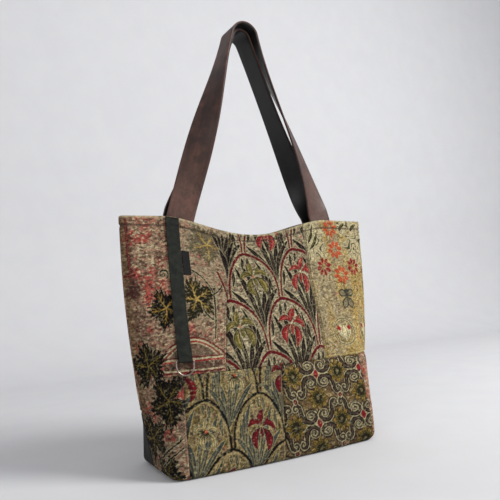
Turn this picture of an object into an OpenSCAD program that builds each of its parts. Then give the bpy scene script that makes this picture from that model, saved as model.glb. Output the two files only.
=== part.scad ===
// Carpet bag: a tote of patchwork tapestry with a boxed base and two long leather handles.
// It stands on its flat base with the handles held up in two loops, one over the other.
// X runs across the bag, the front faces -Y, Z is up, and the base lies on z = 0.

/* [Bag body] */
// Width across the mouth between the two side seams, mm
rim_width = 385; // [330:1:450]
// Width of the base, mm
base_width = 310; // [250:1:350]
// Depth of the base from front to back, mm
base_depth = 120; // [90:1:150]
// Height of the rim at the side seams, mm
bag_height = 318; // [270:1:380]
// How far the rim hangs down between the handles, mm
rim_sag = 24; // [4:0.5:34]
// How far each rim bows out from the side folds, mm
rim_bow = 12; // [8:0.5:24]
// Radius of the soft fold at each end of the mouth, mm
fold_radius = 6; // [5.5:0.1:9]
// Radius of the boxed corners seen from above, mm
corner_radius = 16; // [14:0.5:24]
// Radius of the soft edge between the walls and the base, mm
edge_radius = 9; // [6:0.5:11]
// How far the front and back swell out along the base, mm
base_swell = 8; // [0:0.5:14]
// How far the left side swells out, mm
left_swell = 4; // [0:0.5:16]
// How far the right side swells out, mm
right_swell = 13; // [0:0.5:16]
// How deep the cross seam pulls the cloth in, mm
seam_dip = 1.2; // [0:0.1:2]

/* [Cloth] */
// Thickness of the tapestry, mm
cloth = 2; // [1.5:0.1:2.5]
// Thickness of the facing inside the rim, mm
facing = 1.4; // [1:0.1:1.8]
// Depth of the facing below the rim, mm
facing_depth = 48; // [40:1:60]
// Thickness of the loose lining, mm
lining_cloth = 0.8; // [0.6:0.1:1.2]
// How far the lining stands off the walls, mm
lining_slack = 3.0; // [2.8:0.1:3.6]
// Height of the cross seam above the base, mm
seam_height = 118; // [90:1:140]
// Height of the dark leather at the back, mm
back_band = 74; // [50:1:90]

/* [Handles] */
// Width of the handle straps, mm
strap_width = 38; // [34:0.5:46]
// Thickness of the leather of a strap, mm
strap_leather = 2; // [1.5:0.1:2.2]
// Thickness of the dark backing of a strap, mm
strap_backing = 1.2; // [0.8:0.1:1.4]
// Height of the handle loops above the rim, mm
handle_rise = 281; // [250:1:330]
// How far the top of the loops stands to the left of the middle, mm
loop_shift = 9.5; // [0:0.5:14]
// Inner radius at the top of the lower loop, mm
loop_radius = 12; // [10:0.5:16]
// Place of the straps along the rim, as a part of half the rim
strap_place = 0.583; // [0.54:0.001:0.62]

/* [Tape and ring] */
// Width of the webbing tape, mm
tape_width = 18; // [15:0.5:19]
// Thickness of the webbing tape, mm
tape_cloth = 1.3; // [1:0.1:1.5]
// Height of the ring's bar above the base, mm
ring_height = 136; // [132:1:160]
// Wire thickness of the ring, mm
ring_wire = 2.4; // [2:0.1:2.8]
// Inner width of the ring, mm
ring_inner = 20; // [20:0.5:23]

/* [Hidden] */
gap = 0.3;
seat = 0.3;
seam_t = seam_height / bag_height;
band_t = back_band / bag_height;
facing_t = 1 - facing_depth / bag_height;
// The ends of the straps are sewn to the facing, just above its lower edge
strap_tail = facing_depth - 2;
fold_a = rim_width / 2 - fold_radius;
fold_len = fold_a + fold_radius * PI / 2;
// Columns of the wall grid, as parts of half the girth
half_cols = [0.12, 0.24, 0.36, 0.48, 0.58, 0.638, 0.668, 0.699, 0.729, 0.76, 0.79, 0.87, 0.945, 0.963,
    0.982];
cols = concat([for (i = [len(half_cols) - 1 : -1 : 0]) -half_cols[i]], [0], half_cols);
// Rows of the wall grid: the soft edge, the lower and the upper patches
edge_rows = [for (a = [90, 60, 30, 0]) edge_radius * (1 - sin(a)) / bag_height];
edge_t = edge_rows[3];
band_rows = concat(edge_rows, [for (i = [1 : 3]) edge_t + (band_t - edge_t) * i / 3]);
mid_rows = [for (i = [0 : 3]) band_t + (seam_t - band_t) * [0, 0.4, 0.76, 1][i]];
low_rows = concat(band_rows, [for (i = [1 : 3]) mid_rows[i]]);
top_parts = [0, 0.06, 0.17, 0.31, 0.46, 0.61, 0.75, 0.88, 1];
up_rows = [for (p = top_parts) seam_t + (1 - seam_t) * p];
ring_r = ring_inner / 2 + ring_wire / 2;

// Small helpers
function mix(a, b, w) = a * (1 - w) + b * w;
function unit(v) = v / norm(v);
function clamp(v, lo, hi) = min(max(v, lo), hi);
function join(lists) = [for (l = lists) for (v = l) v];

// Quarter outline of the base: q is 0 at the front centre and 1 at the middle of the side
function base_xy(q, s = 0) =
    let (u = q * (base_width + base_depth) / 2, c = base_width / 2, r = corner_radius)
    let (a = clamp((u - c + r) / (2 * r), 0, 1) * 90)
    let (swell = base_swell * clamp(1 - pow(u / c, 2), 0, 1))
    u < c - r ? [u, -base_depth / 2 - swell]
    : u > c + r ? [c, u - c - base_depth / 2]
    : [c - r + r * sin(a), r - r * cos(a) - base_depth / 2 - swell];

// Quarter outline of the mouth: a shallow bow and a soft fold at the side seam
function rim_xy(q) =
    let (u = q * fold_len, a = (u - fold_a) / fold_radius * 180 / PI)
    u <= fold_a ? [u, -fold_radius - rim_bow * (1 - pow(u / fold_a, 2))]
    : [fold_a + fold_radius * sin(a), -fold_radius * cos(a)];

// Outline of the front wall at the height t, which is 0 at the base and 1 at the rim
function wall_xy(q, t) =
    let (p = abs(q), w = 1 - pow(1 - t, 1.55))
    let (m = mix(base_xy(p), rim_xy(p), w))
    let (side = (q > 0 ? right_swell : left_swell) * clamp((p - 0.55) / 0.3, 0, 1))
    let (out = side * sin(180 * pow(t, 0.6)))
    let (belly = 4 * sin(180 * t) * (1 - p * p))
    [sign(q) * (m.x + out), m.y - belly];

// Outward direction of that outline, level; straight sideways at the side seams
function wall_n(q, t) =
    abs(q) > 0.999 ? [sign(q), 0]
    : let (d = wall_xy(min(q + 0.003, 1), t) - wall_xy(max(q - 0.003, -1), t))
    unit([d.y, -d.x]);

// Height of a place on the wall, with the rim hanging down between the handles
function wall_z(q, t) =
    let (bell = pow(clamp(1 - pow((q + 0.06) / 0.66, 2), 0, 1), 2))
    t * bag_height - (t > seam_t ? rim_sag * bell * pow((t - seam_t) / (1 - seam_t), 2) : 0);

// A point of the front wall, the distance d inside its outer face
function wall(q, t, d) =
    let (z = t * bag_height, n = wall_n(q, t), p = wall_xy(q, t))
    let (s = clamp(1 - z / edge_radius, 0, 1), c = sqrt(1 - s * s))
    let (dip = seam_dip * exp(-pow((z - seam_height) / 9, 2)) * clamp((1 - abs(q)) / 0.1, 0, 1))
    let (i = edge_radius * (1 - c) + d * c + dip)
    [p.x - n.x * i, p.y - n.y * i, wall_z(q, t) + d * s];

// The same for either face of the bag: f is -1 at the front and 1 at the back
function face(q, t, d, f) = let (p = wall(q, t, d)) [p.x, -f * p.y, p.z];

// A sheet from two equal grids of points, outer and inner, closed round its border
module sheet(outer, inner, flip = false) {
    r = len(outer);
    c = len(outer[0]);
    pts = concat(join(outer), join(inner));
    m = r * c;
    skin = [for (j = [0 : r - 2]) for (i = [0 : c - 2]) each [
        [j * c + i, j * c + c + i + 1, j * c + i + 1],
        [j * c + i, j * c + c + i, j * c + c + i + 1],
        [m + j * c + i, m + j * c + i + 1, m + j * c + c + i + 1],
        [m + j * c + i, m + j * c + c + i + 1, m + j * c + c + i]]];
    ends = [for (i = [0 : c - 2]) each [
        [i, i + 1, m + i + 1],
        [i, m + i + 1, m + i],
        [m - c + i, 2 * m - c + i + 1, m - c + i + 1],
        [m - c + i, 2 * m - c + i, 2 * m - c + i + 1]]];
    sides = [for (j = [0 : r - 2]) each [
        [j * c, m + j * c, m + j * c + c],
        [j * c, m + j * c + c, j * c + c],
        [j * c + c - 1, m + j * c + 2 * c - 1, m + j * c + c - 1],
        [j * c + c - 1, j * c + 2 * c - 1, m + j * c + 2 * c - 1]]];
    faces = concat(skin, ends, sides);
    polyhedron(pts, flip ? faces : [for (f = faces) [f[0], f[2], f[1]]]);
}

// A patch of the wall between two seams that may slant: a and b are [q at the foot, q at the top]
module patch(a, b, rows, f = -1, d0 = 0, d1 = cloth) {
    t0 = rows[0];
    t1 = rows[len(rows) - 1];
    lo = max(a) + 0.012;
    hi = min(b) - 0.012;
    mid = [for (q = cols) if (q > lo && q < hi) q];
    grid = [for (d = [d0, d1]) [for (t = rows) let (w = (t - t0) / (t1 - t0))
        [for (q = concat([mix(a[0], a[1], w)], mid, [mix(b[0], b[1], w)])) face(q, t, d, f)]]];
    sheet(grid[0], grid[1], f < 0);
}

module left_upper_patch() {
    color([0.62, 0.40, 0.34]) patch([-1, -1], [-0.36, -0.235], up_rows);
}

module arch_patch() {
    color([0.66, 0.58, 0.48]) patch([-0.36, -0.235], [0.415, 0.385], up_rows);
}

module gold_patch() {
    color([0.67, 0.55, 0.32]) patch([0.415, 0.385], [1, 1], up_rows);
}

module left_lower_patch() {
    color([0.62, 0.40, 0.34]) patch([-1, -1], [-0.63, -0.63], low_rows);
}

module lower_arch_patch() {
    color([0.66, 0.54, 0.40]) patch([-0.63, -0.63], [-0.03, 0.04], low_rows);
}

module scroll_patch() {
    color([0.60, 0.53, 0.42]) patch([-0.03, 0.04], [0.699, 0.699], low_rows);
}

module right_side_patch() {
    color([0.58, 0.34, 0.28]) patch([0.699, 0.699], [1, 1], low_rows);
}

module back_panel() {
    rows = concat(mid_rows, [for (i = [1 : len(up_rows) - 1]) up_rows[i]]);
    color([0.60, 0.42, 0.36]) patch([-1, -1], [1, 1], rows, 1);
}

// The dark leather floor, with a band that turns up the back
module base_panel() {
    qs = concat([-1], cols, [1]);
    n = len(qs);
    r = len(band_rows);
    // Front border of the floor from left to right, without the two side seams
    front = [for (d = [0, cloth]) [for (i = [1 : n - 2]) face(qs[i], 0, d, -1)]];
    band = [for (d = [0, cloth]) [for (t = band_rows) for (q = qs) face(q, t, d, 1)]];
    m = n * r;
    k = n - 2;
    pts = concat(band[0], band[1], front[0], front[1], [[0, 0, 0], [0, 0, cloth]]);
    skin = [for (j = [0 : r - 2]) for (i = [0 : n - 2]) each [
        [j * n + i, j * n + n + i + 1, j * n + i + 1],
        [j * n + i, j * n + n + i, j * n + n + i + 1],
        [m + j * n + i, m + j * n + i + 1, m + j * n + n + i + 1],
        [m + j * n + i, m + j * n + n + i + 1, m + j * n + n + i]]];
    top = [for (i = [0 : n - 2]) each [
        [m - n + i, 2 * m - n + i + 1, m - n + i + 1],
        [m - n + i, 2 * m - n + i, 2 * m - n + i + 1]]];
    sides = [for (j = [0 : r - 2]) each [
        [j * n, m + j * n, m + j * n + n],
        [j * n, m + j * n + n, j * n + n],
        [j * n + n - 1, m + j * n + 2 * n - 1, m + j * n + n - 1],
        [j * n + n - 1, j * n + 2 * n - 1, m + j * n + 2 * n - 1]]];
    // The border of the floor as one ring of point numbers, below and above
    low = concat([0], [for (i = [0 : k - 1]) 2 * m + i], [n - 1]);
    high = concat([m], [for (i = [0 : k - 1]) 2 * m + k + i], [m + n - 1]);
    rim = [for (i = [0 : n - 2]) each [
        [low[i], high[i + 1], high[i]],
        [low[i], low[i + 1], high[i + 1]]]];
    // The floor fans out from a middle point to its whole border
    ring = concat([for (i = [0 : n - 1]) i], [for (i = [k - 1 : -1 : 0]) 2 * m + i]);
    ring_up = concat([for (i = [0 : n - 1]) m + i], [for (i = [k - 1 : -1 : 0]) 2 * m + k + i]);
    c = 2 * m + 2 * k;
    floor = [for (i = [0 : n + k - 1]) let (j = (i + 1) % (n + k)) each [
        [c, ring[i], ring[j]],
        [c + 1, ring_up[j], ring_up[i]]]];
    faces = concat(skin, top, sides, rim, floor);
    color([0.10, 0.07, 0.06]) polyhedron(pts, [for (f = faces) [for (i = [len(f) - 1 : -1 : 0]) f[i]]]);
}

// A closed ring of the wall grid, both faces, as rows of points
function ring_rows(qs, ts, d) =
    [for (t = ts) concat([for (q = qs) face(q, t, d, -1)],
        [for (i = [len(qs) - 2 : -1 : 1]) face(qs[i], t, d, 1)])];

// Faces of a band of closed rings: n points a ring, first ring at the number a
function band_faces(a, n, r, out) =
    [for (j = [0 : r - 2]) for (i = [0 : n - 1]) let (k = (i + 1) % n, p = a + j * n) each out
        ? [[p + i, p + n + k, p + k], [p + i, p + n + i, p + n + k]]
        : [[p + i, p + k, p + n + k], [p + i, p + n + k, p + n + i]]];

// Faces between two closed rings that start at the numbers a and b
function ring_join(a, b, n) =
    [for (i = [0 : n - 1]) let (k = (i + 1) % n) each [[a + i, a + k, b + k], [a + i, b + k, b + i]]];

module rim_facing() {
    qs = concat([-1], cols, [1]);
    ts = [facing_t, (facing_t + 1) / 2, 1];
    d = cloth + gap;
    outer = ring_rows(qs, ts, d);
    n = len(outer[0]);
    pts = concat(join(outer), join(ring_rows(qs, ts, d + facing)));
    faces = concat(band_faces(0, n, 3, true), band_faces(3 * n, n, 3, false),
        ring_join(0, 3 * n, n), ring_join(5 * n, 2 * n, n));
    color([0.45, 0.33, 0.25]) polyhedron(pts, faces);
}

// The loose lining: a thin bag that hangs from the facing and lies on the floor
module lining() {
    half = [0.18, 0.36, 0.54, 0.638, 0.699, 0.75, 0.79, 0.9, 0.96];
    qs = concat([-1], [for (i = [len(half) - 1 : -1 : 0]) -half[i]], [0], half, [1]);
    top_t = facing_t - seat / bag_height;
    ts = concat(edge_rows, [for (p = [0.3, 0.6, 0.9, 1]) mix(edge_t, top_t, p)]);
    r = len(ts);
    // It stands off the cloth between the floor and the facing
    off = [for (i = [0 : r - 1]) cloth + (i == 0 ? gap : i == r - 1 ? 2.5 * gap : lining_slack)];
    outer = [for (i = [0 : r - 1]) ring_rows(qs, [ts[i]], off[i])[0]];
    inner = [for (i = [0 : r - 1]) ring_rows(qs, [ts[i]], off[i] + lining_cloth)[0]];
    n = len(outer[0]);
    pts = concat(join(outer), join(inner), [[0, 0, off[0]], [0, 0, off[0] + lining_cloth]]);
    c = 2 * r * n;
    floor = [for (i = [0 : n - 1]) let (j = (i + 1) % n) each [
        [c, i, j],
        [c + 1, r * n + j, r * n + i]]];
    faces = concat(band_faces(0, n, r, true), band_faces(r * n, n, r, false),
        ring_join((2 * r - 1) * n, (r - 1) * n, n), floor);
    color([0.16, 0.13, 0.12]) polyhedron(pts, faces);
}

// Handles. The centre line of a strap is the joint between its leather and its backing.
// In these functions f is -1 for the front strap and m is -1 for the left leg of a strap.
top_z = bag_height + handle_rise;
strap_top_y = 6;
strap_spread = 7;
strap_stack = 3;
strap_slant = 0.15;
strap_bulge = 4;
strap_d = cloth + gap + facing + seat + strap_leather;
function loop_r(f) = loop_radius + strap_backing + (f < 0 ? strap_leather + strap_backing + strap_stack : 0);
loop_x = -loop_shift;
loop_z = top_z - strap_leather - (loop_radius + strap_leather + 2 * strap_backing + strap_stack);
function strap_rim(f, m) = face(m * strap_place, 1, strap_d, f);
rim_turn = atan2(wall_n(strap_place, 1).x, -wall_n(strap_place, 1).y);

// Rim end of a leg, seen from the middle of the loop as if it were the left leg
function leg_foot(f, m) = [-m * (strap_rim(f, m).x - loop_x), strap_rim(f, m).z];

// Angle on the loop where a leg meets it, measured from the level
function meet_angle(f, m) =
    let (v = leg_foot(f, m) - [0, loop_z])
    180 + atan2(-v[1], -v[0]) - acos(loop_r(f) / norm(v));

// Centre line of a leg above the rim: u is 0 at the rim and 1 where the loop begins
function leg(u, f, m) =
    let (a = meet_angle(f, m), r = loop_r(f), rim = strap_rim(f, m))
    let (e = [r * cos(a), loop_z + r * sin(a)], dir = [sin(a), -cos(a)])
    let (p0 = leg_foot(f, m), far = norm(e - p0))
    let (p1 = mix(p0, e, 0.3) - [strap_bulge, 0], p2 = e - 0.35 * far * dir)
    let (v = 1 - u)
    let (p = v * v * v * p0 + 3 * v * v * u * p1 + 3 * v * u * u * p2 + u * u * u * e)
    let (y = mix(rim.y, f * strap_top_y, u) + f * strap_spread * pow(sin(180 * pow(u, 0.85)), 1.5))
    [loop_x - m * p.x, y, p.y];

// Turn of a strap's face about its length: g is 1 at the rim and 0 at the loop.
// The left leg of the front strap turns at its middle, the right one slowly, and the back strap
// only near the rim.
function turn(g, f, m) =
    let (full = 90 - rim_turn, h = min(g / 0.95, 1))
    f > 0 ? full * pow(h, 4)
    : m < 0 ? full * h * h * (3 - 2 * h)
    : full * h * (1.9 - 3.05 * h + 2.15 * h * h);

// One station of half a strap: the centre and the turn of its face
function station(k, f, m) =
    k < 5 ? let (low = strap_tail * (1 - k / 5), q = strap_place + strap_slant * low / fold_len)
        let (t = 1 - low / bag_height, n = wall_n(m * q, t))
        [face(m * q, t, strap_d + 0.2, f), 90 - atan2(m * n.x, -n.y)]
    : k < 29 ? [leg((k - 5) / 24, f, m), turn((29 - k) / 24, f, m)]
    : let (a = mix(meet_angle(f, m), 90, (k - 29) / 5), r = loop_r(f))
    [[loop_x - m * r * cos(a), f * strap_top_y, loop_z + r * sin(a)], 0];

// Points across a strap at one station, the distance d outside its centre line
function across(k, f, m, d) =
    let (s = station(k, f, m), a = station(max(k - 1, 0), f, m)[0])
    let (along = k < 34 ? unit(station(k + 1, f, m)[0] - a) : [-m, 0, 0])
    let (n0 = k < 29 ? [m * cos(s[1]), f * sin(s[1]), 0] : [m * along.z, 0, -m * along.x])
    let (n = unit(n0 - (n0 * along) * along), w = -m * cross(along, n))
    [for (e = [-0.5, 0, 0.5]) s[0] + n * d + w * e * strap_width];

// One layer of a strap from its left tail over the loop to its right tail
module strap(f, d0, d1) {
    grid = [for (d = [d1, d0]) concat([for (k = [0 : 34]) across(k, f, -1, d)],
        [for (k = [33 : -1 : 0]) across(k, f, 1, d)])];
    sheet(grid[0], grid[1], true);
}

module front_handle() {
    color([0.25, 0.14, 0.10]) strap(-1, 0, strap_leather);
}

module front_handle_backing() {
    color([0.07, 0.06, 0.05]) strap(-1, -strap_backing, 0);
}

module back_handle() {
    color([0.25, 0.14, 0.10]) strap(1, 0, strap_leather);
}

module back_handle_backing() {
    color([0.07, 0.06, 0.05]) strap(1, -strap_backing, 0);
}

// Tape and ring. The ring's frame: u along the bar, v up along the wall, w out of it.
tape_q = [-0.618, -0.65];
ring_t = ring_height / bag_height;
ring_out = seat + tape_cloth + seat + ring_wire / 2;
ring_at = face(tape_q[0], ring_t, 0, -1);
ring_v = unit(face(tape_q[0], ring_t + 0.02, 0, -1) - face(tape_q[0], ring_t - 0.05, 0, -1));
ring_u0 = [-wall_n(tape_q[0], ring_t).y, wall_n(tape_q[0], ring_t).x, 0];
ring_u = unit(ring_u0 - (ring_u0 * ring_v) * ring_v);
ring_w = cross(ring_u, ring_v);
ring_o = ring_at + ring_out * ring_w;

module at_ring() {
    multmatrix([[ring_u.x, ring_v.x, ring_w.x, ring_o.x],
        [ring_u.y, ring_v.y, ring_w.y, ring_o.y],
        [ring_u.z, ring_v.z, ring_w.z, ring_o.z]]) children();
}

// The tape lies on the front from the rim to the ring and ends in a loop round its bar
module webbing_tape() {
    hw = tape_width / rim_width;
    t0 = (ring_height + 11) / bag_height;
    rows = [for (i = [0 : 10]) mix(t0, 1, i / 10)];
    grid = [for (d = [-seat - tape_cloth, -seat]) [for (t = rows)
        let (q = mix(tape_q[0], tape_q[1], (t - ring_t) / (1 - ring_t)))
        [for (i = [-1, -0.5, 0, 0.5, 1]) face(q + i * hw, t, d, -1)]]];
    r = ring_wire / 2 + seat;
    color([0.09, 0.10, 0.09]) {
        sheet(grid[0], grid[1], true);
        at_ring() rotate([90, 0, 90]) translate([0, 0, -tape_width / 2]) difference() {
            union() {
                cylinder(h = tape_width, r = r + tape_cloth, $fn = 48);
                linear_extrude(tape_width) polygon([[0, -r - tape_cloth], [11.6, -r - tape_cloth],
                    [11.6, -r], [2, r + 0.4], [0, r + tape_cloth]]);
            }
            translate([0, 0, -1]) cylinder(h = tape_width + 2, r = r, $fn = 48);
        }
    }
}

// The bare woven tag under the right edge of the tape
module side_tag() {
    rows = [for (i = [0 : 3]) mix(0.766, 0.866, i / 3)];
    grid = [for (d = [-seat - 0.7, -seat]) [for (t = rows)
        let (q = mix(tape_q[0], tape_q[1], (t - ring_t) / (1 - ring_t)) + tape_width / rim_width + 0.002)
        [for (i = [0, 1]) face(q + i * 0.05, t, d, -1)]]];
    color([0.05, 0.05, 0.05]) sheet(grid[0], grid[1], true);
}

// The wire ring: a straight bar in the loop, two short legs and a half round
module d_ring() {
    drop = 7;
    color([0.72, 0.70, 0.66]) at_ring() {
        translate([-ring_r, 0, 0]) rotate([0, 90, 0]) cylinder(h = 2 * ring_r, d = ring_wire, $fn = 32);
        for (s = [-1, 1]) {
            translate([s * ring_r, -drop, 0]) rotate([-90, 0, 0])
                cylinder(h = drop, d = ring_wire, $fn = 32);
            translate([s * ring_r, 0, 0]) sphere(d = ring_wire, $fn = 32);
        }
        translate([0, -drop, 0]) rotate([0, 0, 180]) rotate_extrude(angle = 180, $fn = 64)
            translate([ring_r, 0]) circle(d = ring_wire, $fn = 32);
    }
}

left_upper_patch();
arch_patch();
gold_patch();
left_lower_patch();
lower_arch_patch();
scroll_patch();
right_side_patch();
back_panel();
base_panel();
lining();
rim_facing();
front_handle();
front_handle_backing();
back_handle();
back_handle_backing();
webbing_tape();
side_tag();
d_ring();
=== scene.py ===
# %% [markdown]
# # A patchwork carpet bag
# The bag is a tote sewn from seven patches of tapestry, with a dark leather base, two long leather
# handles and a webbing tape that ends in a wire ring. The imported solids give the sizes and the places.
# In this lesson each soft solid is replaced by cloth or leather that is modelled as what it is.

import bpy
import numpy as np
from mathutils import Matrix, Vector


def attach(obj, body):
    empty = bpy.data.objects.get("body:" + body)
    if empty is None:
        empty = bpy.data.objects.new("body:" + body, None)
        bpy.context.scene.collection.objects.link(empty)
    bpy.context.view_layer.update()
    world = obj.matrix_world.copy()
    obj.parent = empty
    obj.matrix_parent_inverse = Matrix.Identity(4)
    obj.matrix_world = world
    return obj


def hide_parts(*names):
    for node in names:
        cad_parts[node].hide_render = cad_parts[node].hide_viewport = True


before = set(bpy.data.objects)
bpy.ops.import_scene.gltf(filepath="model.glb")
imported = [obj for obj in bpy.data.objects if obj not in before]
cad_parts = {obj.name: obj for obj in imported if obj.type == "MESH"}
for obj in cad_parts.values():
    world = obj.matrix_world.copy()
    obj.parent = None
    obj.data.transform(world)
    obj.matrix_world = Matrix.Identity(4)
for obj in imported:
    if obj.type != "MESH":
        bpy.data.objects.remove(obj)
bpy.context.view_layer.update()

print("solids:", sorted(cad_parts))

# %% [markdown]
# ## The sizes of the bag
# A soft bag has no flat faces to measure from, so its solids were lofted from a handful of sizes.
# The same sizes are repeated here, in millimetres, and the mesh maker turns them into metres. That keeps
# every piece on its solid without fitting anything by eye.

# %% Driving sizes in millimetres
MM = 0.001
RIM_WIDTH = 385.0
BASE_WIDTH = 310.0
BASE_DEPTH = 120.0
BAG_HEIGHT = 318.0
RIM_SAG = 24.0
RIM_BOW = 12.0
FOLD_RADIUS = 6.0
CORNER_RADIUS = 16.0
EDGE_RADIUS = 9.0
BASE_SWELL = 8.0
LEFT_SWELL = 4.0
RIGHT_SWELL = 13.0
BELLY = 4.0
SEAM_HEIGHT = 118.0
SEAM_DIP = 1.2
BACK_BAND = 74.0
FACING_DEPTH = 48.0

HALF_GIRTH = 204.0
SEAM_T = SEAM_HEIGHT / BAG_HEIGHT
BAND_T = BACK_BAND / BAG_HEIGHT
FACING_T = 1 - FACING_DEPTH / BAG_HEIGHT
print(f"cross seam at {SEAM_T:.3f} of the height")

# %% [markdown]
# ## The wall of the bag
# One surface carries all the patches. A place on it has two numbers: q runs along the girth from the left
# side seam (-1) over the front centre (0) to the right side seam (1), and t runs from the base (0) to the
# rim (1). A boxed base and a nearly flat mouth are two outlines, and the wall is a blend of the two, which
# is how a boxed tote hangs when its handles are held up. The back mirrors the front.


# %% Outlines of the base and the mouth
def mix(a, b, w):
    return a * (1 - w) + b * w


def clamp(x):
    return np.clip(x, 0, 1)


def pack(*parts):
    """Arrays of coordinates as one array of points, or of corner numbers as one of faces."""
    return np.stack(parts, axis=-1)


def base_outline(p):
    u = p * (BASE_WIDTH + BASE_DEPTH) / 2
    c, r = BASE_WIDTH / 2, CORNER_RADIUS
    a = clamp((u - c + r) / (2 * r)) * np.pi / 2
    front = -BASE_DEPTH / 2 - BASE_SWELL * clamp(1 - (u / c) ** 2)
    x = np.where(u < c - r, u, np.where(u > c + r, c, c - r + r * np.sin(a)))
    y = np.where(u < c - r, front, np.where(u > c + r, u - c - BASE_DEPTH / 2, front + r - r * np.cos(a)))
    return x, y


def rim_outline(p):
    straight = RIM_WIDTH / 2 - FOLD_RADIUS
    u = p * (straight + FOLD_RADIUS * np.pi / 2)
    a = np.clip((u - straight) / FOLD_RADIUS, 0, np.pi / 2)
    bow = -FOLD_RADIUS - RIM_BOW * (1 - (u / straight) ** 2)
    x = np.where(u <= straight, u, straight + FOLD_RADIUS * np.sin(a))
    y = np.where(u <= straight, bow, -FOLD_RADIUS * np.cos(a))
    return x, y


# %% Points of the wall
WALL_EASE = 1.55
SWELL_FROM, SWELL_OVER, SWELL_RISE = 0.55, 0.3, 0.6
SAG_MIDDLE, SAG_HALF = -0.06, 0.66


def outline(q, t):
    p = np.abs(q)
    bx, by = base_outline(p)
    rx, ry = rim_outline(p)
    w = 1 - (1 - t) ** WALL_EASE
    side = np.where(q > 0, RIGHT_SWELL, LEFT_SWELL) * clamp((p - SWELL_FROM) / SWELL_OVER)
    x = mix(bx, rx, w) + side * np.sin(np.pi * t**SWELL_RISE)
    y = mix(by, ry, w) - BELLY * np.sin(np.pi * t) * (1 - p * p)
    return np.sign(q) * x, y


def outward(q, t):
    step = 0.003
    ax, ay = outline(np.minimum(q + step, 1), t)
    bx, by = outline(np.maximum(q - step, -1), t)
    long = np.hypot(ax - bx, ay - by)
    at_fold = np.abs(q) > 0.999
    nx = np.where(at_fold, np.sign(q), (ay - by) / long)
    ny = np.where(at_fold, 0.0, (bx - ax) / long)
    return nx, ny


def wall(q, t, d=0.0, side=-1):
    """Points of the wall, d mm inside its outer face. Side is -1 for the front and 1 for the back."""
    q, t, d = np.broadcast_arrays(np.asarray(q, float), np.asarray(t, float), np.asarray(d, float))
    x, y = outline(q, t)
    nx, ny = outward(q, t)
    z = t * BAG_HEIGHT
    s = clamp(1 - z / EDGE_RADIUS)
    c = np.sqrt(1 - s * s)
    inset = EDGE_RADIUS * (1 - c) + d * c
    droop = clamp(1 - ((q - SAG_MIDDLE) / SAG_HALF) ** 2) ** 2
    sag = RIM_SAG * droop * clamp((t - SEAM_T) / (1 - SEAM_T)) ** 2
    return pack(x - nx * inset, -side * (y - ny * inset), z - sag + d * s)


print("rim centre at", wall(0.0, 1.0).round(1), "side seam at", wall(1.0, 1.0).round(1))

# %% [markdown]
# ## Slack, seams and the hem
# Sewn cloth is never as smooth as its pattern. It sinks into its seams, puckers along the stitches, swells
# a little between them and waves where nothing holds it. These moves are a few millimetres at most. They are
# functions of the place on the wall, so neighbouring patches, stitches and the tape all follow one cloth.


# %% Smooth noise
CELLS = 64


def cloud(x, y, size, seed):
    """Noise from 0 to 1 with soft blotches about size mm across."""
    table = np.random.default_rng(seed).random((CELLS, CELLS))
    u, v = x / size, y / size
    i, j = np.floor(u).astype(int), np.floor(v).astype(int)
    a, b = u - i, v - j
    a, b = a * a * (3 - 2 * a), b * b * (3 - 2 * b)
    i0, i1, j0, j1 = i % CELLS, (i + 1) % CELLS, j % CELLS, (j + 1) % CELLS
    return mix(mix(table[i0, j0], table[i1, j0], a), mix(table[i0, j1], table[i1, j1], a), b)


# %% Seams of the front
# Each seam runs from a q at its foot to a q at its top
UPPER_SEAMS = [(-0.36, -0.235), (0.415, 0.385)]
LOWER_SEAMS = [(-0.63, -0.63), (-0.03, 0.04), (0.699, 0.699)]


def seam_gap(q, t):
    """Distance in mm from a place on the front to the nearest seam."""
    up = clamp((t - SEAM_T) / (1 - SEAM_T))
    low = clamp(t / SEAM_T)
    upper = np.min([np.abs(q - mix(a, b, up)) for a, b in UPPER_SEAMS], axis=0)
    lower = np.min([np.abs(q - mix(a, b, low)) for a, b in LOWER_SEAMS], axis=0)
    sideways = np.where(t > SEAM_T, upper, lower) * HALF_GIRTH
    across = np.abs(t - SEAM_T) * BAG_HEIGHT
    edge = (1 - np.abs(q)) * HALF_GIRTH
    return np.minimum(np.minimum(sideways, across), edge)


# %% How far the cloth stands out
HEM_DEPTH = 11.0
HEM_GROOVE = 1.5
SEAM_GROOVE = 1.9
SEAM_CUSHION = 7.0
DIP_WIDTH = 9.0
FRONT_VALLEY, BACK_VALLEY = 1.25, 1.1
BROAD_SIZE, BROAD_WAVE = 62.0, 4.2
SMALL_SIZE, SMALL_WAVE = 24.0, 1.3


def bell(x):
    """1 at 0, and next to nothing beyond 2 on either side."""
    return np.exp(-(x**2))


def hem_swell(q, t):
    """The doubled hem stands out, and its row of stitches pulls a groove below it."""
    below = (1 - t) * BAG_HEIGHT
    groove = bell((below - HEM_DEPTH) / HEM_GROOVE)
    body = clamp((HEM_DEPTH - below) / 2.0)
    pull = 0.7 + 0.6 * cloud(q * HALF_GIRTH, below * 0.2, 5.0, 31)
    return body * 0.55 + body * 0.5 * (cloud(q * HALF_GIRTH, below * 0.5, 7.0, 32) - 0.5) - groove * pull


def slack(q, t, seed):
    """Broad soft waves that die out at the rim, the base and the side seams."""
    s, v = q * HALF_GIRTH, t * BAG_HEIGHT
    free = clamp((1 - t) / 0.2) * clamp(t / 0.12) * clamp((1 - np.abs(q)) / 0.08)
    broad = cloud(s + 0.35 * v, v * 0.6, BROAD_SIZE, seed) - 0.5
    small = cloud(s - 0.5 * v, v * 0.7, SMALL_SIZE, seed + 1) - 0.5
    return free * (BROAD_WAVE * broad + SMALL_WAVE * small)


def seam_dip(q, t):
    """How far the wall sinks in along the cross seam."""
    return SEAM_DIP * bell((t * BAG_HEIGHT - SEAM_HEIGHT) / DIP_WIDTH) * clamp((1 - np.abs(q)) / 0.1)


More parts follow.
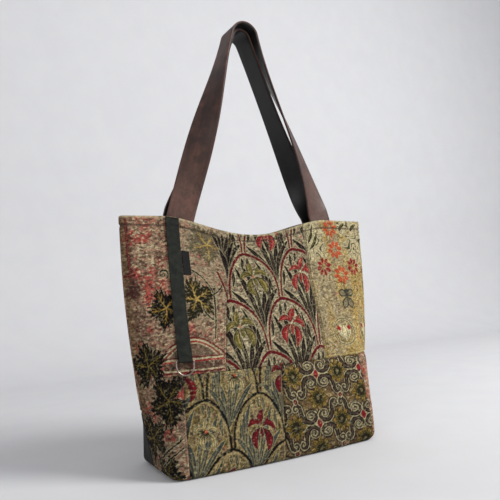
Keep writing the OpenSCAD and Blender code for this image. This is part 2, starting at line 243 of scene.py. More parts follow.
def front_swell(q, t):
    s, v = q * HALF_GIRTH, t * BAG_HEIGHT
    gap = seam_gap(q, t)
    valley = -FRONT_VALLEY * bell(gap / SEAM_GROOVE)
    cushion = 0.7 * (gap / SEAM_CUSHION) * np.exp(1 - gap / SEAM_CUSHION)
    pucker = 0.75 * (cloud(s, v, 6.5, 41) - 0.5) * np.exp(-gap / 9.0)
    off_floor = clamp(v / 8.0)
    return off_floor * (valley + cushion + pucker) - seam_dip(q, t) + slack(q, t, 51) + hem_swell(q, t)


def back_swell(q, t):
    edge = np.minimum((1 - np.abs(q)) * HALF_GIRTH, np.abs(t - BAND_T) * BAG_HEIGHT)
    above_band = clamp((t - BAND_T) * BAG_HEIGHT / 30)
    return -BACK_VALLEY * bell(edge / SEAM_GROOVE) + above_band * slack(q, t, 61) + hem_swell(q, t)


def swell(q, t, side):
    return front_swell(q, t) if side < 0 else back_swell(q, t)


# %% Finished cloth
CLOTH = 2.0
KNEE = 1.1


def keep_in(depth):
    """Eases a depth, so that the cloth never sinks further in than its own thickness."""
    soft_end = KNEE + (CLOTH - KNEE) * np.tanh((depth - KNEE) / (CLOTH - KNEE))
    return np.where(depth > KNEE, soft_end, depth)


def skin(q, t, lift=0.0, side=-1):
    """Points of the finished cloth, lift mm above it."""
    q, t = np.broadcast_arrays(np.asarray(q, float), np.asarray(t, float))
    return wall(q, t, keep_in(-swell(q, t, side)) - lift, side)


print("deepest seam:", front_swell(np.array(-0.63), np.array(0.2)).round(2), "mm")

# %% [markdown]
# ## From a grid of points to a mesh
# Every cloth piece here is a grid: rows up the bag and columns along it. A grid is the easiest mesh to
# build from arrays, it takes smooth shading well, and each point can carry its dye and its place on the
# cloth as attributes, which the materials read later.


# %% Mesh maker
def grid_faces(rows, cols, start=0, close=False, flip=False):
    index = np.arange(rows * cols).reshape(rows, cols) + start
    if close:
        index = np.concatenate([index, index[:, :1]], axis=1)
    corners = [index[:-1, :-1], index[:-1, 1:], index[1:, 1:], index[1:, :-1]]
    return np.stack(corners[::-1] if flip else corners, axis=-1).reshape(-1, 4)


def mark(mesh, name, values):
    """Stores one number, one vector or one colour for each point of a mesh."""
    width = 1 if values.ndim == 1 else values.shape[-1]
    kind, field = {1: ("FLOAT", "value"), 3: ("FLOAT_VECTOR", "vector"), 4: ("FLOAT_COLOR", "color")}[width]
    data = mesh.attributes.new(name, kind, "POINT").data
    data.foreach_set(field, np.ascontiguousarray(values, np.float32).ravel())


def make_piece(name, points, faces, marks=None):
    """A smooth mesh object from points in mm and four-cornered faces."""
    mesh = bpy.data.meshes.new(name)
    points = points.reshape(-1, 3)
    mesh.vertices.add(len(points))
    mesh.vertices.foreach_set("co", np.ascontiguousarray(points * MM, np.float32).ravel())
    mesh.loops.add(faces.size)
    mesh.loops.foreach_set("vertex_index", faces.ravel().astype(np.int32))
    mesh.polygons.add(len(faces))
    mesh.polygons.foreach_set("loop_start", np.arange(len(faces), dtype=np.int32) * 4)
    mesh.polygons.foreach_set("use_smooth", np.ones(len(faces), bool))
    mesh.update(calc_edges=True)
    for key, values in (marks or {}).items():
        mark(mesh, key, values)
    obj = bpy.data.objects.new(name, mesh)
    bpy.context.scene.collection.objects.link(obj)
    return obj


# %% Fit a piece into the frame
def fit(obj, material, slot, *nodes, body="bag"):
    obj.data.materials.append(material)
    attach(obj, body)
    if nodes:
        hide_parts(*nodes)
    print(obj.name, len(obj.data.polygons), "faces")
    return obj


# %% [markdown]
# ## Dyeing the cloth
# A jacquard is a picture woven from coloured yarns: fields of colour with slightly ragged edges and a fine
# speckle where the yarns of the ground show through. The patterns here are simple traditional ornament:
# scallop arches, lilies, vine leaves, rosettes and scrolls. Each motif is drawn by a formula on the flat
# cloth, as a stroke or a leaf shape, and its colour is stored on the points of the mesh.


# %% Inks
def ink(r, g, b):
    """A colour as a painter reads it, 0 to 255, turned into the linear light that shaders use."""
    c = np.array([r, g, b]) / 255.0
    return np.where(c <= 0.04045, c / 12.92, ((c + 0.055) / 1.055) ** 2.4)


BLACK = ink(18, 15, 14)
UMBER = ink(70, 52, 44)
WINE = ink(98, 20, 28)
RED = ink(158, 40, 44)
ROSE = ink(188, 98, 84)
CREAM = ink(214, 202, 160)
STRAW = ink(192, 166, 100)
OCHRE = ink(168, 134, 62)
OLIVE = ink(112, 102, 50)
MOSS = ink(50, 46, 24)
SLATE = ink(84, 94, 90)
GREIGE = ink(146, 132, 106)
TAUPE = ink(96, 80, 64)
ORANGE = ink(206, 84, 40)
HALO = mix(CREAM, GREIGE, 0.3)


# %% A length of cloth to dye
RAGGED = 1.1
PATTERN_FOOT = 3.0


class Cloth:
    """Flat places x and y in mm, a colour for each, and how far the yarn stands up."""

    def __init__(self, q, t, ground):
        x, y = (q * HALF_GIRTH).ravel(), (t * BAG_HEIGHT - PATTERN_FOOT).ravel()
        self.x = x + RAGGED * (cloud(x, y * 1.6, 1.9, 3) - 0.5)
        self.y = y + RAGGED * (cloud(x, y * 1.6, 1.9, 4) - 0.5)
        self.colour = np.tile(ground, (x.size, 1)).astype(float)
        self.lift = np.zeros(x.size)

    def near(self, lo, hi):
        return np.nonzero((self.x > lo[0]) & (self.x < hi[0]) & (self.y > lo[1]) & (self.y < hi[1]))[0]

    def dye(self, where, share, colour, lift=None):
        share = clamp(share)
        self.colour[where] = mix(self.colour[where], colour, share[:, None])
        if lift is not None:
            self.lift[where] = mix(self.lift[where], lift, share)

    def wash(self, share, colour):
        """Dyes the whole length."""
        self.dye(slice(None), share, colour)

    def cloud(self, size, seed, stretch=1.0):
        return cloud(self.x * stretch, self.y, size, seed)


# %% Speckled and curled grounds
WEFT = 0.55
FLECK = 1.8
YARN = 0.8


def soft(gap):
    """1 inside a shape, 0 outside, and a yarn's width between."""
    return clamp(0.5 - gap / YARN)


def speckle(cloth, colour, share, strength, seed, size=FLECK, stretch=WEFT):
    """Dyes the given share of the cloth in flecks of about that size, drawn out along the weft."""
    n = cloth.cloud(size, seed, stretch)
    n = 0.7 * n + 0.3 * cloth.cloud(size * 0.45, seed + 500, stretch)
    edge = np.quantile(n, 1 - share)
    cloth.wash(strength * clamp((n - edge) * 14), colour)


def curls(cloth, colour, size, seed, width, strength):
    """Fine curly lines: the level lines of a soft noise."""
    level = cloth.cloud(size, seed) * 5
    gap = np.abs(level - np.round(level)) * size * 0.22
    cloth.wash(strength * soft(gap - width / 2), colour)


# %% Strokes
def line_gap(x, y, pts):
    """Distance to a line of points, how far along it the nearest place is, and on which side."""
    best, at, side = np.full(x.shape, np.inf), np.zeros(x.shape), np.zeros(x.shape)
    count = len(pts) - 1
    for k in range(count):
        a, step = pts[k], pts[k + 1] - pts[k]
        w = clamp(((x - a[0]) * step[0] + (y - a[1]) * step[1]) / (step @ step + 1e-9))
        dx, dy = x - a[0] - w * step[0], y - a[1] - w * step[1]
        gap = np.hypot(dx, dy)
        closer = gap < best
        best = np.where(closer, gap, best)
        at = np.where(closer, (k + w) / count, at)
        side = np.where(closer, np.sign(step[0] * dy - step[1] * dx), side)
    return best, at, side


def stroke(cloth, pts, width, colour, halo=None, lift=0.3, halo_width=1.1):
    """A band along a line of points with a pale line beside it. Width may be a list of widths along it."""
    pts = np.asarray(pts, float)
    widths = np.atleast_1d(np.asarray(width, float))
    margin = widths.max() + 3
    k = cloth.near(pts.min(0) - margin, pts.max(0) + margin)
    if k.size == 0:
        return
    gap, at, _ = line_gap(cloth.x[k], cloth.y[k], pts)
    half = np.interp(at, np.linspace(0, 1, len(widths)), widths) / 2
    if halo is not None:
        cloth.dye(k, soft(gap - half - halo_width), halo)
    cloth.dye(k, soft(gap - half), colour, lift)


# %% Leaves and petals
def curve(start, control, end, count=11):
    start, control, end = (np.asarray(v, float) for v in (start, control, end))
    w = np.linspace(0, 1, count)[:, None]
    return (1 - w) ** 2 * start + 2 * w * (1 - w) * control + w**2 * end


def bend_line(base, tip, bend, count=11):
    """A line from base to tip that bows sideways by bend times its length."""
    base, tip = np.asarray(base, float), np.asarray(tip, float)
    along = tip - base
    return curve(base, (base + tip) / 2 + bend * np.array([-along[1], along[0]]) * 2, tip, count)


def blade(cloth, pts, width, colour, halo=None, fill=None, rib=None, lift=0.35, blunt=0.8, halo_width=0.9):
    """A pointed shape on a curve. Fill is the colour of one half of it, and rib a line down its middle."""
    margin = width + 3
    k = cloth.near(pts.min(0) - margin, pts.max(0) + margin)
    if k.size == 0:
        return
    gap, at, side = line_gap(cloth.x[k], cloth.y[k], pts)
    half = width / 2 * np.sin(np.pi * np.clip(at, 0.01, 0.99) ** blunt) ** 0.75
    if halo is not None:
        cloth.dye(k, soft(gap - half - halo_width), halo)
    if colour is not None:
        cloth.dye(k, soft(gap - half), colour, lift)
    if fill is not None:
        cloth.dye(k, 0.85 * soft(np.maximum(gap - half + 0.9, 0.1 - gap * side)), fill)
    if rib is not None:
        cloth.dye(k, soft(gap - 0.35) * (half > 0.8), rib)


def leaf(cloth, base, tip, width, colour, bend=0.0, halo=None, fill=None, rib=None, lift=0.35, blunt=0.8):
    blade(cloth, bend_line(base, tip, bend), width, colour, halo, fill, rib, lift, blunt)


def disc(cloth, at, radius, colour, halo=None, lift=0.3):
    k = cloth.near(np.array(at) - radius - 3, np.array(at) + radius + 3)
    gap = np.hypot(cloth.x[k] - at[0], cloth.y[k] - at[1])
    if halo is not None:
        cloth.dye(k, soft(gap - radius - 1.0), halo)
    cloth.dye(k, soft(gap - radius), colour, lift)


def ray(at, angle, reach):
    a = np.radians(angle)
    return np.asarray(at, float) + reach * np.array([np.cos(a), np.sin(a)])


print("inks and brushes are ready")

# %% [markdown]
# ## Scallop arches with lilies
# The two arch patches share one ornament: rows of arches in half drop, where the feet of each arch stand
# on the tops of the next row. A lily with raised, drooping and hanging petals fills each arch, and long leaves
# rise round it. One lattice serves both patches with other inks and another pitch.

# %% The arch lattice
def arch_line(top, foot, drop):
    """Half an arch, from its top down to one foot that stands foot mm to the side."""
    h = np.linspace(0, 1, 24) ** 1.7
    across = (1 - (1 - h) ** 2.6) ** 0.62
    return pack(top[0] + foot * across, top[1] - drop * h)


def whole_arch(top, lattice, clear):
    """Both halves of an arch as one line, clear of its neighbours at the feet."""
    pitch, drop, skew = lattice
    left = arch_line(top, skew - pitch / 2 + clear, drop)
    return np.concatenate([left[::-1], arch_line(top, skew + pitch / 2 - clear, drop)[1:]])


def arch_tops(first, pitch, drop, skew, rows, cols):
    """Tops of the arches, row by row in half drop, with the small skew of the cloth."""
    for j in rows:
        for i in cols:
            yield i, j, np.array([first[0] + pitch * i + (skew - pitch / 2) * j, first[1] - drop * j])


# %% Lily
# Petals as start, control, end and width, in parts of the flower's size
LILY = [((-0.02, 0.0), (-0.24, 0.60), (0.10, 1.05), 0.50), ((0.04, 0.0), (0.46, 0.30), (0.50, 0.66), 0.26),
        ((-0.05, 0.0), (-0.55, 0.62), (-1.0, -0.10), 0.40), ((0.05, 0.0), (0.62, 0.56), (1.04, -0.22), 0.40),
        ((-0.04, -0.08), (-0.74, -0.62), (-0.22, -1.42), 0.52),
        ((0.08, -0.08), (0.88, -0.56), (0.52, -1.50), 0.54),
        ((0.02, -0.05), (0.02, -0.40), (0.16, -0.78), 0.28)]


def lily(cloth, at, size, petal, edge, shine, heart, lean=0.0):
    """A plain lily: two raised petals, two that droop to the sides and three that hang."""
    at = np.asarray(at, float)
    c, s = np.cos(np.radians(lean)), np.sin(np.radians(lean))
    turned = size * np.array([[c, s], [-s, c]])
    lines = [(at + curve(*petal_line[:3]) @ turned, size * petal_line[3]) for petal_line in LILY]
    for pts, width in lines:
        blade(cloth, pts, width, edge, halo=HALO, lift=0.4, blunt=1.1, halo_width=0.45)
    for pts, width in lines:
        blade(cloth, pts[1:], width * 0.74, petal, fill=shine, rib=edge, lift=0.5, blunt=1.1)
    disc(cloth, at, size * 0.08, heart)


# %% Leaves round the lily
# Each blade: foot, tip, bend and width, in mm from the top of its arch
FAN = [((20, -124), (-17, -22), -0.03, 8.5), ((21, -124), (-8, -14), -0.06, 7.0),
       ((21, -122), (-26, -58), -0.05, 7.5), ((21, -124), (0, -66), -0.04, 6.5),
       ((22, -124), (27, -56), 0.03, 8.0), ((22, -122), (13, -68), 0.0, 5.5),
       ((23, -124), (16, -10), -0.12, 7.5), ((23, -122), (29, -22), -0.07, 6.5),
       ((22, -120), (50, -56), 0.12, 8.0)]
CROWN = [((-5, -28), (-4, -7), -0.04, 5.0), ((4, -22), (5, -6), 0.0, 4.4),
         ((-22, -56), (-21, -28), -0.06, 5.4), ((42, -66), (37, -40), 0.08, 5.4)]


def fan_lines(tops, shapes, scale):
    """The curves and widths of the blades under every arch."""
    for top in tops:
        for foot, tip, bend, width in shapes:
            foot, tip = top + np.array(foot) * scale, top + np.array(tip) * scale
            yield bend_line(foot, tip, bend * np.sign(scale[0])), width * scale[1]


def dye_fans(cloth, tops, scale, dark, half, halo, rib, lift):
    """Halos first, then the blades, so that blades that cross stay one dark mass."""
    lines = list(fan_lines(tops, FAN + CROWN, np.asarray(scale)))
    for pts, width in lines:
        blade(cloth, pts, width, None, halo=halo, lift=lift, blunt=1.35)
    for pts, width in lines:
        blade(cloth, pts, width, dark, halo=mix(halo, dark, 0.2), fill=half, lift=lift, blunt=1.35,
              halo_width=0.45)
    for pts, width in lines:
        blade(cloth, pts[3:-2], 0.8, rib, lift=lift, blunt=1.0)


# %% Dye the upper arch patch
UPPER_ARCH = (81.0, 74.0, 11.0)
PLUME = [((-77, 306), -0.10), ((-69, 309), -0.06), ((-61, 310), -0.02), ((-52, 309), 0.04), ((-44, 300), 0.08),
         ((-67, 284), -0.08)]


def plume(cloth):
    """Dark blades that stand on both sides of the seam at the rim."""
    for tip, bend in PLUME:
        blade(cloth, bend_line((-58, 238), tip, bend), 8.0, BLACK, halo=mix(HALO, GREIGE, 0.5),
              fill=mix(UMBER, BLACK, 0.6), blunt=1.3, halo_width=0.6)


def dye_arch_patch(cloth):
    speckle(cloth, mix(UMBER, BLACK, 0.3), 0.46, 0.7, 101)
    speckle(cloth, CREAM, 0.30, 0.7, 102)
    speckle(cloth, ROSE, 0.07, 0.6, 103, size=2.4)
    cells = list(arch_tops((-29, 281), *UPPER_ARCH, range(-2, 4), range(-4, 6)))
    tops = [top for *_, top in cells]
    dye_fans(cloth, tops, (1.0, 1.0), BLACK, mix(UMBER, BLACK, 0.7), HALO, TAUPE, 0.35)
    plume(cloth)
    for i, j, top in cells:
        at = top + np.array([11.0, -37.0])
        if (i + (j < 0)) % 2:
            lily(cloth, at, 21, mix(RED, WINE, 0.2), mix(WINE, BLACK, 0.3), mix(ROSE, RED, 0.15), CREAM,
                 lean=-14)
        else:
            lily(cloth, at, 21, OLIVE, MOSS, mix(STRAW, OLIVE, 0.45), ROSE, lean=12)
    for top in tops:
        band = whole_arch(top, UPPER_ARCH, 2.3)
        stroke(cloth, band, [2.8, 3.4, 4.4, 5.0, 4.4, 3.4, 2.8], WINE, halo=HALO, lift=0.5, halo_width=0.6)


# %% Dye the lower arch patch
LOWER_ARCH = (74.0, 61.0, -7.0)
# Painted shade: the lower patches are dyed darker, as they hang further from the light
LOWER_PAINTED_SHADE = 0.78
LEFT_SEAM_X = LOWER_SEAMS[0][0] * HALF_GIRTH


def dye_lower_arch_patch(cloth):
    speckle(cloth, OLIVE, 0.50, 0.75, 113, size=6.0, stretch=1.5)
    speckle(cloth, ROSE, 0.12, 0.45, 111)
    speckle(cloth, CREAM, 0.16, 0.4, 112)
    speckle(cloth, mix(STRAW, CREAM, 0.4), 0.24, 0.7, 115, size=8.0, stretch=3.0)
    speckle(cloth, MOSS, 0.20, 0.6, 116, size=8.0, stretch=3.0)
    speckle(cloth, UMBER, 0.38, 0.7, 114)
    cells = list(arch_tops((-105, 84), *LOWER_ARCH, range(-2, 4), range(-3, 5)))
    tops = [top for *_, top in cells]
    dye_fans(cloth, tops, (-0.85, 0.82), mix(SLATE, BLACK, 0.45), mix(SLATE, BLACK, 0.1),
             mix(STRAW, CREAM, 0.2), mix(STRAW, SLATE, 0.4), 0.15)
    for i, _, top in cells:
        at = top + np.array([-4.0, -40.0])
        if at[0] < LEFT_SEAM_X:
            continue
        if i % 2:
            lily(cloth, at, 19, mix(WINE, RED, 0.2), mix(WINE, BLACK, 0.6), mix(RED, WINE, 0.3), STRAW,
                 lean=-10)
        else:
            at = at + np.array([2.0, 4.0])
            lily(cloth, at, 14, mix(STRAW, CREAM, 0.3), MOSS, mix(CREAM, STRAW, 0.3), ORANGE)
            for aim in range(170, 330, 20):
                stroke(cloth, [at, ray(at, aim, 10.0)], [1.4, 0.7], BLACK)
            disc(cloth, at, 1.8, ORANGE)
    for top in tops:
        inner = whole_arch(top + np.array([0, -3.4]), LOWER_ARCH, 5.0)
        stroke(cloth, inner, 1.3, mix(STRAW, GREIGE, 0.4))
        stroke(cloth, whole_arch(top, LOWER_ARCH, 2.2), [2.4, 3.0, 3.4, 3.0, 2.4], BLACK, lift=0.5)
    leaf(cloth, (-128, 113), (-123, 83), 9, mix(WINE, BLACK, 0.2), bend=0.22, fill=mix(RED, WINE, 0.4))
    # Painted shade: the whole patch is dyed darker
    cloth.colour *= LOWER_PAINTED_SHADE


# %% [markdown]
# ## Vine leaves and a banded arch
# The red patches show vine leaves on a flecked rose ground, with a thin tendril and a low banded arch.
# A vine leaf is a fan of jagged lobes round the foot of its veins, so its edge is a wave in the angle,
# made ragged by noise.

# %% Vine leaf
def vine_leaf(cloth, at, size, aim, colour, vein, vein_width, strength=1.0):
    """Five broad toothed lobes round the foot of the veins."""
    at = np.asarray(at, float)
    k = cloth.near(at - size * 1.5, at + size * 1.5)
    dx, dy = cloth.x[k] - at[0], cloth.y[k] - at[1]
    r = np.hypot(dx, dy)
    a = (np.arctan2(dy, dx) - np.radians(aim) + np.pi) % (2 * np.pi) - np.pi
    lobes = 0.90 + 0.15 * np.cos(a * 5)
    teeth = 1 + 0.11 * np.cos(a * 25) + 0.05 * np.cos(a * 55 + 1)
    stalk = 1 - 0.55 * bell((np.pi - np.abs(a)) / 0.3)
    ragged = (cloud(cloth.x[k], cloth.y[k], 2.6, 121) - 0.5) * 7
    gap = r - size * lobes * teeth * stalk + ragged
    cloth.dye(k, 0.6 * strength * soft(gap - 0.8), HALO)
    cloth.dye(k, strength * soft(gap), colour, 0.35)
    flecks = cloud(cloth.x[k], cloth.y[k] * 2, 2.0, 122) > 0.74
    cloth.dye(k, 0.6 * strength * soft(gap) * flecks, mix(UMBER, OLIVE, 0.4))
    for turn in (-144, -72, 0, 72, 144):
        reach = size * (0.86 if abs(turn) < 100 else 0.6)
        stroke(cloth, bend_line(at, ray(at, aim + turn, reach), 0.05), [vein_width, 0.5], vein, lift=0.5)
        for out, fork in ((0.35, 36), (0.35, -36), (0.62, 32), (0.62, -32)):
            start = ray(at, aim + turn, reach * out)
            tip = ray(start, aim + turn + fork, reach * 0.3)
            stroke(cloth, [start, tip], [vein_width * 0.5, 0.3], vein, lift=0.5)


# %% Rose ground and tendrils
def blotch(cloth, colour, share, size, seed, strength):
    """Ragged blotches that are themselves broken into flecks."""
    n = cloth.cloud(size, seed) + 0.30 * cloth.cloud(size * 0.3, seed + 40)
    body = clamp((n - np.quantile(n, 1 - share)) * 9)
    flecks = cloth.cloud(2.2, seed + 80, WEFT)
    cloth.wash(strength * body * np.clip(flecks * 2.6 - 0.2, 0.35, 1), colour)


def rose_ground(cloth, seed, reds=0.34, size=15.0):
    blotch(cloth, mix(RED, ROSE, 0.5), reds, size, seed, 1.0)
    blotch(cloth, TAUPE, 0.26, 11.0, seed + 1, 0.7)
    speckle(cloth, CREAM, 0.28, 0.55, seed + 2)
    speckle(cloth, UMBER, 0.32, 0.75, seed + 3)
    speckle(cloth, RED, 0.07, 0.75, seed + 4, size=2.6, stretch=0.8)
    speckle(cloth, CREAM, 0.07, 0.6, seed + 5, size=3.2, stretch=0.5)


def smear(cloth, at, wide, tall, strength):
    """A soft brown stain of the warp, broken by the flecks of the ground."""
    far = np.hypot((cloth.x - at[0]) / wide, (cloth.y - at[1]) / tall)
    flecks = 0.45 + 0.9 * cloth.cloud(2.4, 129, WEFT)
    ragged = 0.7 * (cloth.cloud(8.0, 130) - 0.5)
    cloth.wash(strength * clamp((1.1 - far + ragged) * 2.2) * flecks, mix(UMBER, WINE, 0.3) * 0.75)


def spiral(at, size, start, turns):
    w = np.linspace(0, 1, 40)
    a = np.radians(start) + w * turns * 2 * np.pi
    r = size * (1 - 0.85 * w)
    return pack(at[0] + r * np.cos(a), at[1] + r * np.sin(a))


# %% Banded arch
def banded_arch(cloth, left, right, top, foot):
    """A low arch in cream and red bands over straight bands, like a garden gate."""
    w = np.linspace(0, 1, 30)
    spring = foot + 19
    across = (cloth.x - left) / (right - left)
    arc = spring + (top - spring) * (1 - (2 * across - 1) ** 2)
    inside = (cloth.y > spring) & (cloth.y < arc - 4)
    cloth.wash(0.75 * inside, mix(UMBER, GREIGE, 0.3))
    frieze = (cloth.y > foot + 4) & (cloth.y < foot + 13) & (across > 0.07) & (across < 0.93)
    cloth.wash(frieze * (0.5 + 0.5 * cloth.cloud(3.0, 128)), UMBER)
    for inset, colour, width in [(0, WINE, 1.9), (2.5, HALO, 2.0), (4.8, RED, 1.3), (6.6, HALO, 1.3)]:
        x = left + inset * 1.6 + w * (right - left - inset * 3.2)
        y = spring + (top - spring - inset) * (1 - (2 * w - 1) ** 2)
        stroke(cloth, pack(x, y), width, colour, lift=0.4)
    bands = [(19, WINE, 1.5), (17, HALO, 1.8), (14.6, RED, 1.6), (3.6, HALO, 1.6), (1.4, WINE, 1.6)]
    for rise, colour, width in bands:
        stroke(cloth, [[left + 4, foot + rise], [right - 4, foot + rise]], width, colour, lift=0.4)


# %% Dye the left patches
VEIN_SHADE = mix(OLIVE, OCHRE, 0.3)
LOW_LEAVES = [((-177, 128), 28, 100), ((-149, 87), 31, 200), ((-183, 42), 27, 110), ((-160, 2), 25, 60)]
TUCK = [[[-194.5, 312], [-191.5, 240]], [[-203, 239], [-185, 241]], [[-204, 313], [-186, 314]]]
SMEARS = [((-189, 222), 11, 22, 0.95), ((-192, 262), 4, 40, 0.6), ((-183, 176), 12, 26, 0.5)]


def tendril(cloth, pts, width=2.7):
    stroke(cloth, pts, [width, width * 0.7], BLACK, halo=HALO, halo_width=0.5)


def side_shade(cloth):
    """Painted shade: the cloth is dyed browner where it folds round to the side seam, away from the light."""
    edge = -188 + 6 * (cloth.cloud(7.0, 124) - 0.5)
    cloth.wash(0.6 * clamp((edge - cloth.x) / 4), mix(UMBER, OCHRE, 0.22))


def dye_left_upper(cloth):
    rose_ground(cloth, 131, 0.40, 19.0)
    side_shade(cloth)
    for at, wide, tall, strength in SMEARS:
        smear(cloth, at, wide, tall, strength)
    pale = clamp((cloth.x + 134) / 10) * clamp((cloth.y - 165) / 20)
    cloth.wash(0.55 * pale * (cloth.cloud(4.0, 127) > 0.3), mix(GREIGE, CREAM, 0.25))
    speckle(cloth, UMBER, 0.2, 0.6, 126)
    for pts in TUCK:
        stroke(cloth, pts, 3.0, mix(WINE, UMBER, 0.3), lift=0.2)
    vine_leaf(cloth, (-84, 287), 27, 200, mix(MOSS, BLACK, 0.3), mix(OCHRE, STRAW, 0.4), 2.0, 0.7)
    plume(cloth)
    banded_arch(cloth, -158, -72, 160, 117)
    vine_leaf(cloth, (-105, 209), 27, 30, mix(BLACK, MOSS, 0.5), mix(OCHRE, STRAW, 0.4), 2.2)
    vine_leaf(cloth, (-145, 198), 24, 190, BLACK, OCHRE, 1.4)
    vine_leaf(cloth, *LOW_LEAVES[0], BLACK, VEIN_SHADE, 1.2)
    tendril(cloth, spiral((-147, 241), 7, 300, 1.4), 2.2)
    tendril(cloth, bend_line((-120, 251), (-80, 216), 0.14, 20))
    tendril(cloth, bend_line((-80, 216), (-84, 158), 0.03, 20))
    tendril(cloth, bend_line((-80, 216), (-66, 232), -0.1))
    tendril(cloth, bend_line((-84, 182), (-97, 198), 0.1))
    stroke(cloth, bend_line((-72, 248), (-59, 206), 0.03), [3.4, 2.8], WINE, halo=HALO, lift=0.4,
           halo_width=0.6)


def dye_left_lower(cloth):
    rose_ground(cloth, 141)
    side_shade(cloth)
    for at, size, aim in LOW_LEAVES:
        vine_leaf(cloth, at, size, aim, BLACK, VEIN_SHADE, 1.2)
    for start in (12, 22):
        tendril(cloth, [[-168, start], [-134, start + 22]])
    # Painted shade: the whole patch is dyed darker
    cloth.colour *= LOWER_PAINTED_SHADE


def dye_right_side(cloth):
    rose_ground(cloth, 151)
    speckle(cloth, ROSE, 0.3, 0.5, 157, size=5.0, stretch=1.0)


# %% [markdown]
# ## Gold cloth with small flowers
# The gold patch has a curly ochre ground, cream leaf sprays near the rim, flowers of eight petals, a
# grey-green trefoil and roundels with a tulip. All of them are petals set round a point.

# %% Flowers of eight petals, a trefoil and a roundel
def ray_leaf(cloth, at, angle, start, end, width, colour, **looks):
    """A leaf on a ray from a point."""
    leaf(cloth, ray(at, angle, start), ray(at, angle, end), width, colour, **looks)


def daisy(cloth, at, size, petal, shine):
    for k in range(8):
        ray_leaf(cloth, at, k * 45 + 12, size * 0.28, size * 1.06, size * 0.44, petal,
                 rib=shine, lift=0.5, blunt=1.15)


LOBES = [(152, 1.0), (28, 1.0), (244, 1.25), (296, 1.25)]


def trefoil(cloth, at, size):
    edge, inside = mix(MOSS, SLATE, 0.2), mix(GREIGE, OLIVE, 0.25)
    for a, reach in LOBES + [(90, 0.65)]:
        ray_leaf(cloth, at, a, 0, size * reach, size * 0.74, edge, lift=0.4, blunt=1.3)
    for a, reach in LOBES:
        ray_leaf(cloth, at, a, size * 0.2, size * reach * 0.9, size * 0.46, inside,
                 rib=edge, lift=0.4, blunt=1.3)


def tulip_roundel(cloth, at, size):
    a = np.linspace(0, 2 * np.pi, 40)
    edge = mix(MOSS, SLATE, 0.3)
    ring = pack(at[0] + size * np.cos(a), at[1] + size * 1.05 * np.sin(a))
    stroke(cloth, ring, 1.5, edge, halo=mix(CREAM, STRAW, 0.4), halo_width=0.8)
    stroke(cloth, mix(ring, np.asarray(at, float), 0.18), 0.8, mix(edge, OCHRE, 0.5))
    foot = np.array([at[0], at[1] - size * 0.85])
    for aim, reach in [(116, 1.35), (64, 1.35), (103, 1.5), (77, 1.5), (90, 1.3)]:
        ray_leaf(cloth, foot, aim, 0, size * reach, size * 0.36, CREAM,
                 halo=mix(edge, STRAW, 0.35), rib=STRAW, lift=0.4, blunt=1.4)
    for aim in (113, 67):
        ray_leaf(cloth, foot, aim, size, size * 1.42, size * 0.34, RED, lift=0.5, blunt=1.0)


# %% Dye the gold patch
SPRAYS = [((96, 290), 20, 34), ((184, 282), 24, 34), ((158, 308), 16, 12)]
RIM_BLADES = [((84, 284), (95, 311), -0.1), ((86, 274), (104, 300), -0.12), ((152, 300), (164, 312), 0.1),
              ((176, 300), (190, 311), 0.1)]


def foliage(cloth, at, wide, tall):
    """Cream leafage with fine dark outlines, drawn as the curly level lines of a noise."""
    far = np.hypot((cloth.x - at[0]) / wide, (cloth.y - at[1]) / tall)
    body = clamp((1.1 - far + 0.9 * (cloth.cloud(9.0, 163) - 0.5)) * 5)
    level = cloth.cloud(13.0, 164, 1.3) * 6
    ridge = np.abs(level - np.round(level))
    cloth.wash(0.85 * body, mix(CREAM, GREIGE, 0.15))
    cloth.wash(0.8 * body * clamp(ridge * 3 - 0.7), mix(STRAW, GREIGE, 0.5))
    cloth.wash(0.95 * body * clamp(1.3 - ridge * 6.5), mix(MOSS, BLACK, 0.3))


def dye_gold_patch(cloth):
    streak = cloud(cloth.x, cloth.y * 0.22, 12.0, 161)
    grey = clamp(0.85 - (cloth.x - 84) / 80 - (streak - 0.5) * 2.4)
    cloth.wash(0.8 * grey, mix(GREIGE, CREAM, 0.1))
    speckle(cloth, mix(STRAW, CREAM, 0.35), 0.26, 0.7, 162, size=2.6, stretch=1.0)
    curls(cloth, mix(SLATE, UMBER, 0.5), 11.0, 167, 0.9, 0.32)
    speckle(cloth, UMBER, 0.19, 0.6, 166)
    speckle(cloth, CREAM, 0.15, 0.5, 168)
    speckle(cloth, ROSE, 0.06, 0.4, 165, size=4.0, stretch=1.0)
    for at, wide, tall in SPRAYS:
        foliage(cloth, at, wide, tall)
    for foot, tip, bend in RIM_BLADES:
        leaf(cloth, foot, tip, 6.0, mix(MOSS, BLACK, 0.4), bend=bend, halo=CREAM, fill=OLIVE)
    for at in [(137, 271), (142, 233), (132, 304)]:
        daisy(cloth, at, 13.5, mix(ORANGE, RED, 0.4), mix(ORANGE, STRAW, 0.3))
    for at in [(111, 246), (171, 245)]:
        daisy(cloth, at, 13.5, mix(RED, WINE, 0.2), WINE)
    stroke(cloth, [[142, 220], [144, 206]], 1.2, mix(SLATE, MOSS, 0.5))
    trefoil(cloth, (145, 201), 16.5)
    for x in (126, 180):
        tulip_roundel(cloth, (x, 150), 18)


# %% [markdown]
# ## Rosettes and scrolls
# The scroll patch is a tile pattern: rows of olive rosettes, and between them a red diamond or a dot in the
# middle of four S-shaped scrolls. A scroll is a line with a spiral at each end, thick in its middle.

# %% Rosette
def rosette(cloth, at, size):
    dark = mix(MOSS, BLACK, 0.6)
    for ring, petal in [(1.0, mix(OCHRE, OLIVE, 0.2)), (0.70, mix(OLIVE, OCHRE, 0.2)), (0.44, MOSS)]:
        for k in range(8):
            a = k * 45 + (22.5 if ring < 0.8 else 0)
            ray_leaf(cloth, at, a, size * ring * 0.2, size * ring, size * 0.36 * ring + 0.8, petal,
                     halo=dark, rib=dark, lift=0.45, blunt=0.95)
    disc(cloth, at, size * 0.15, mix(OLIVE, GREIGE, 0.4), halo=dark)


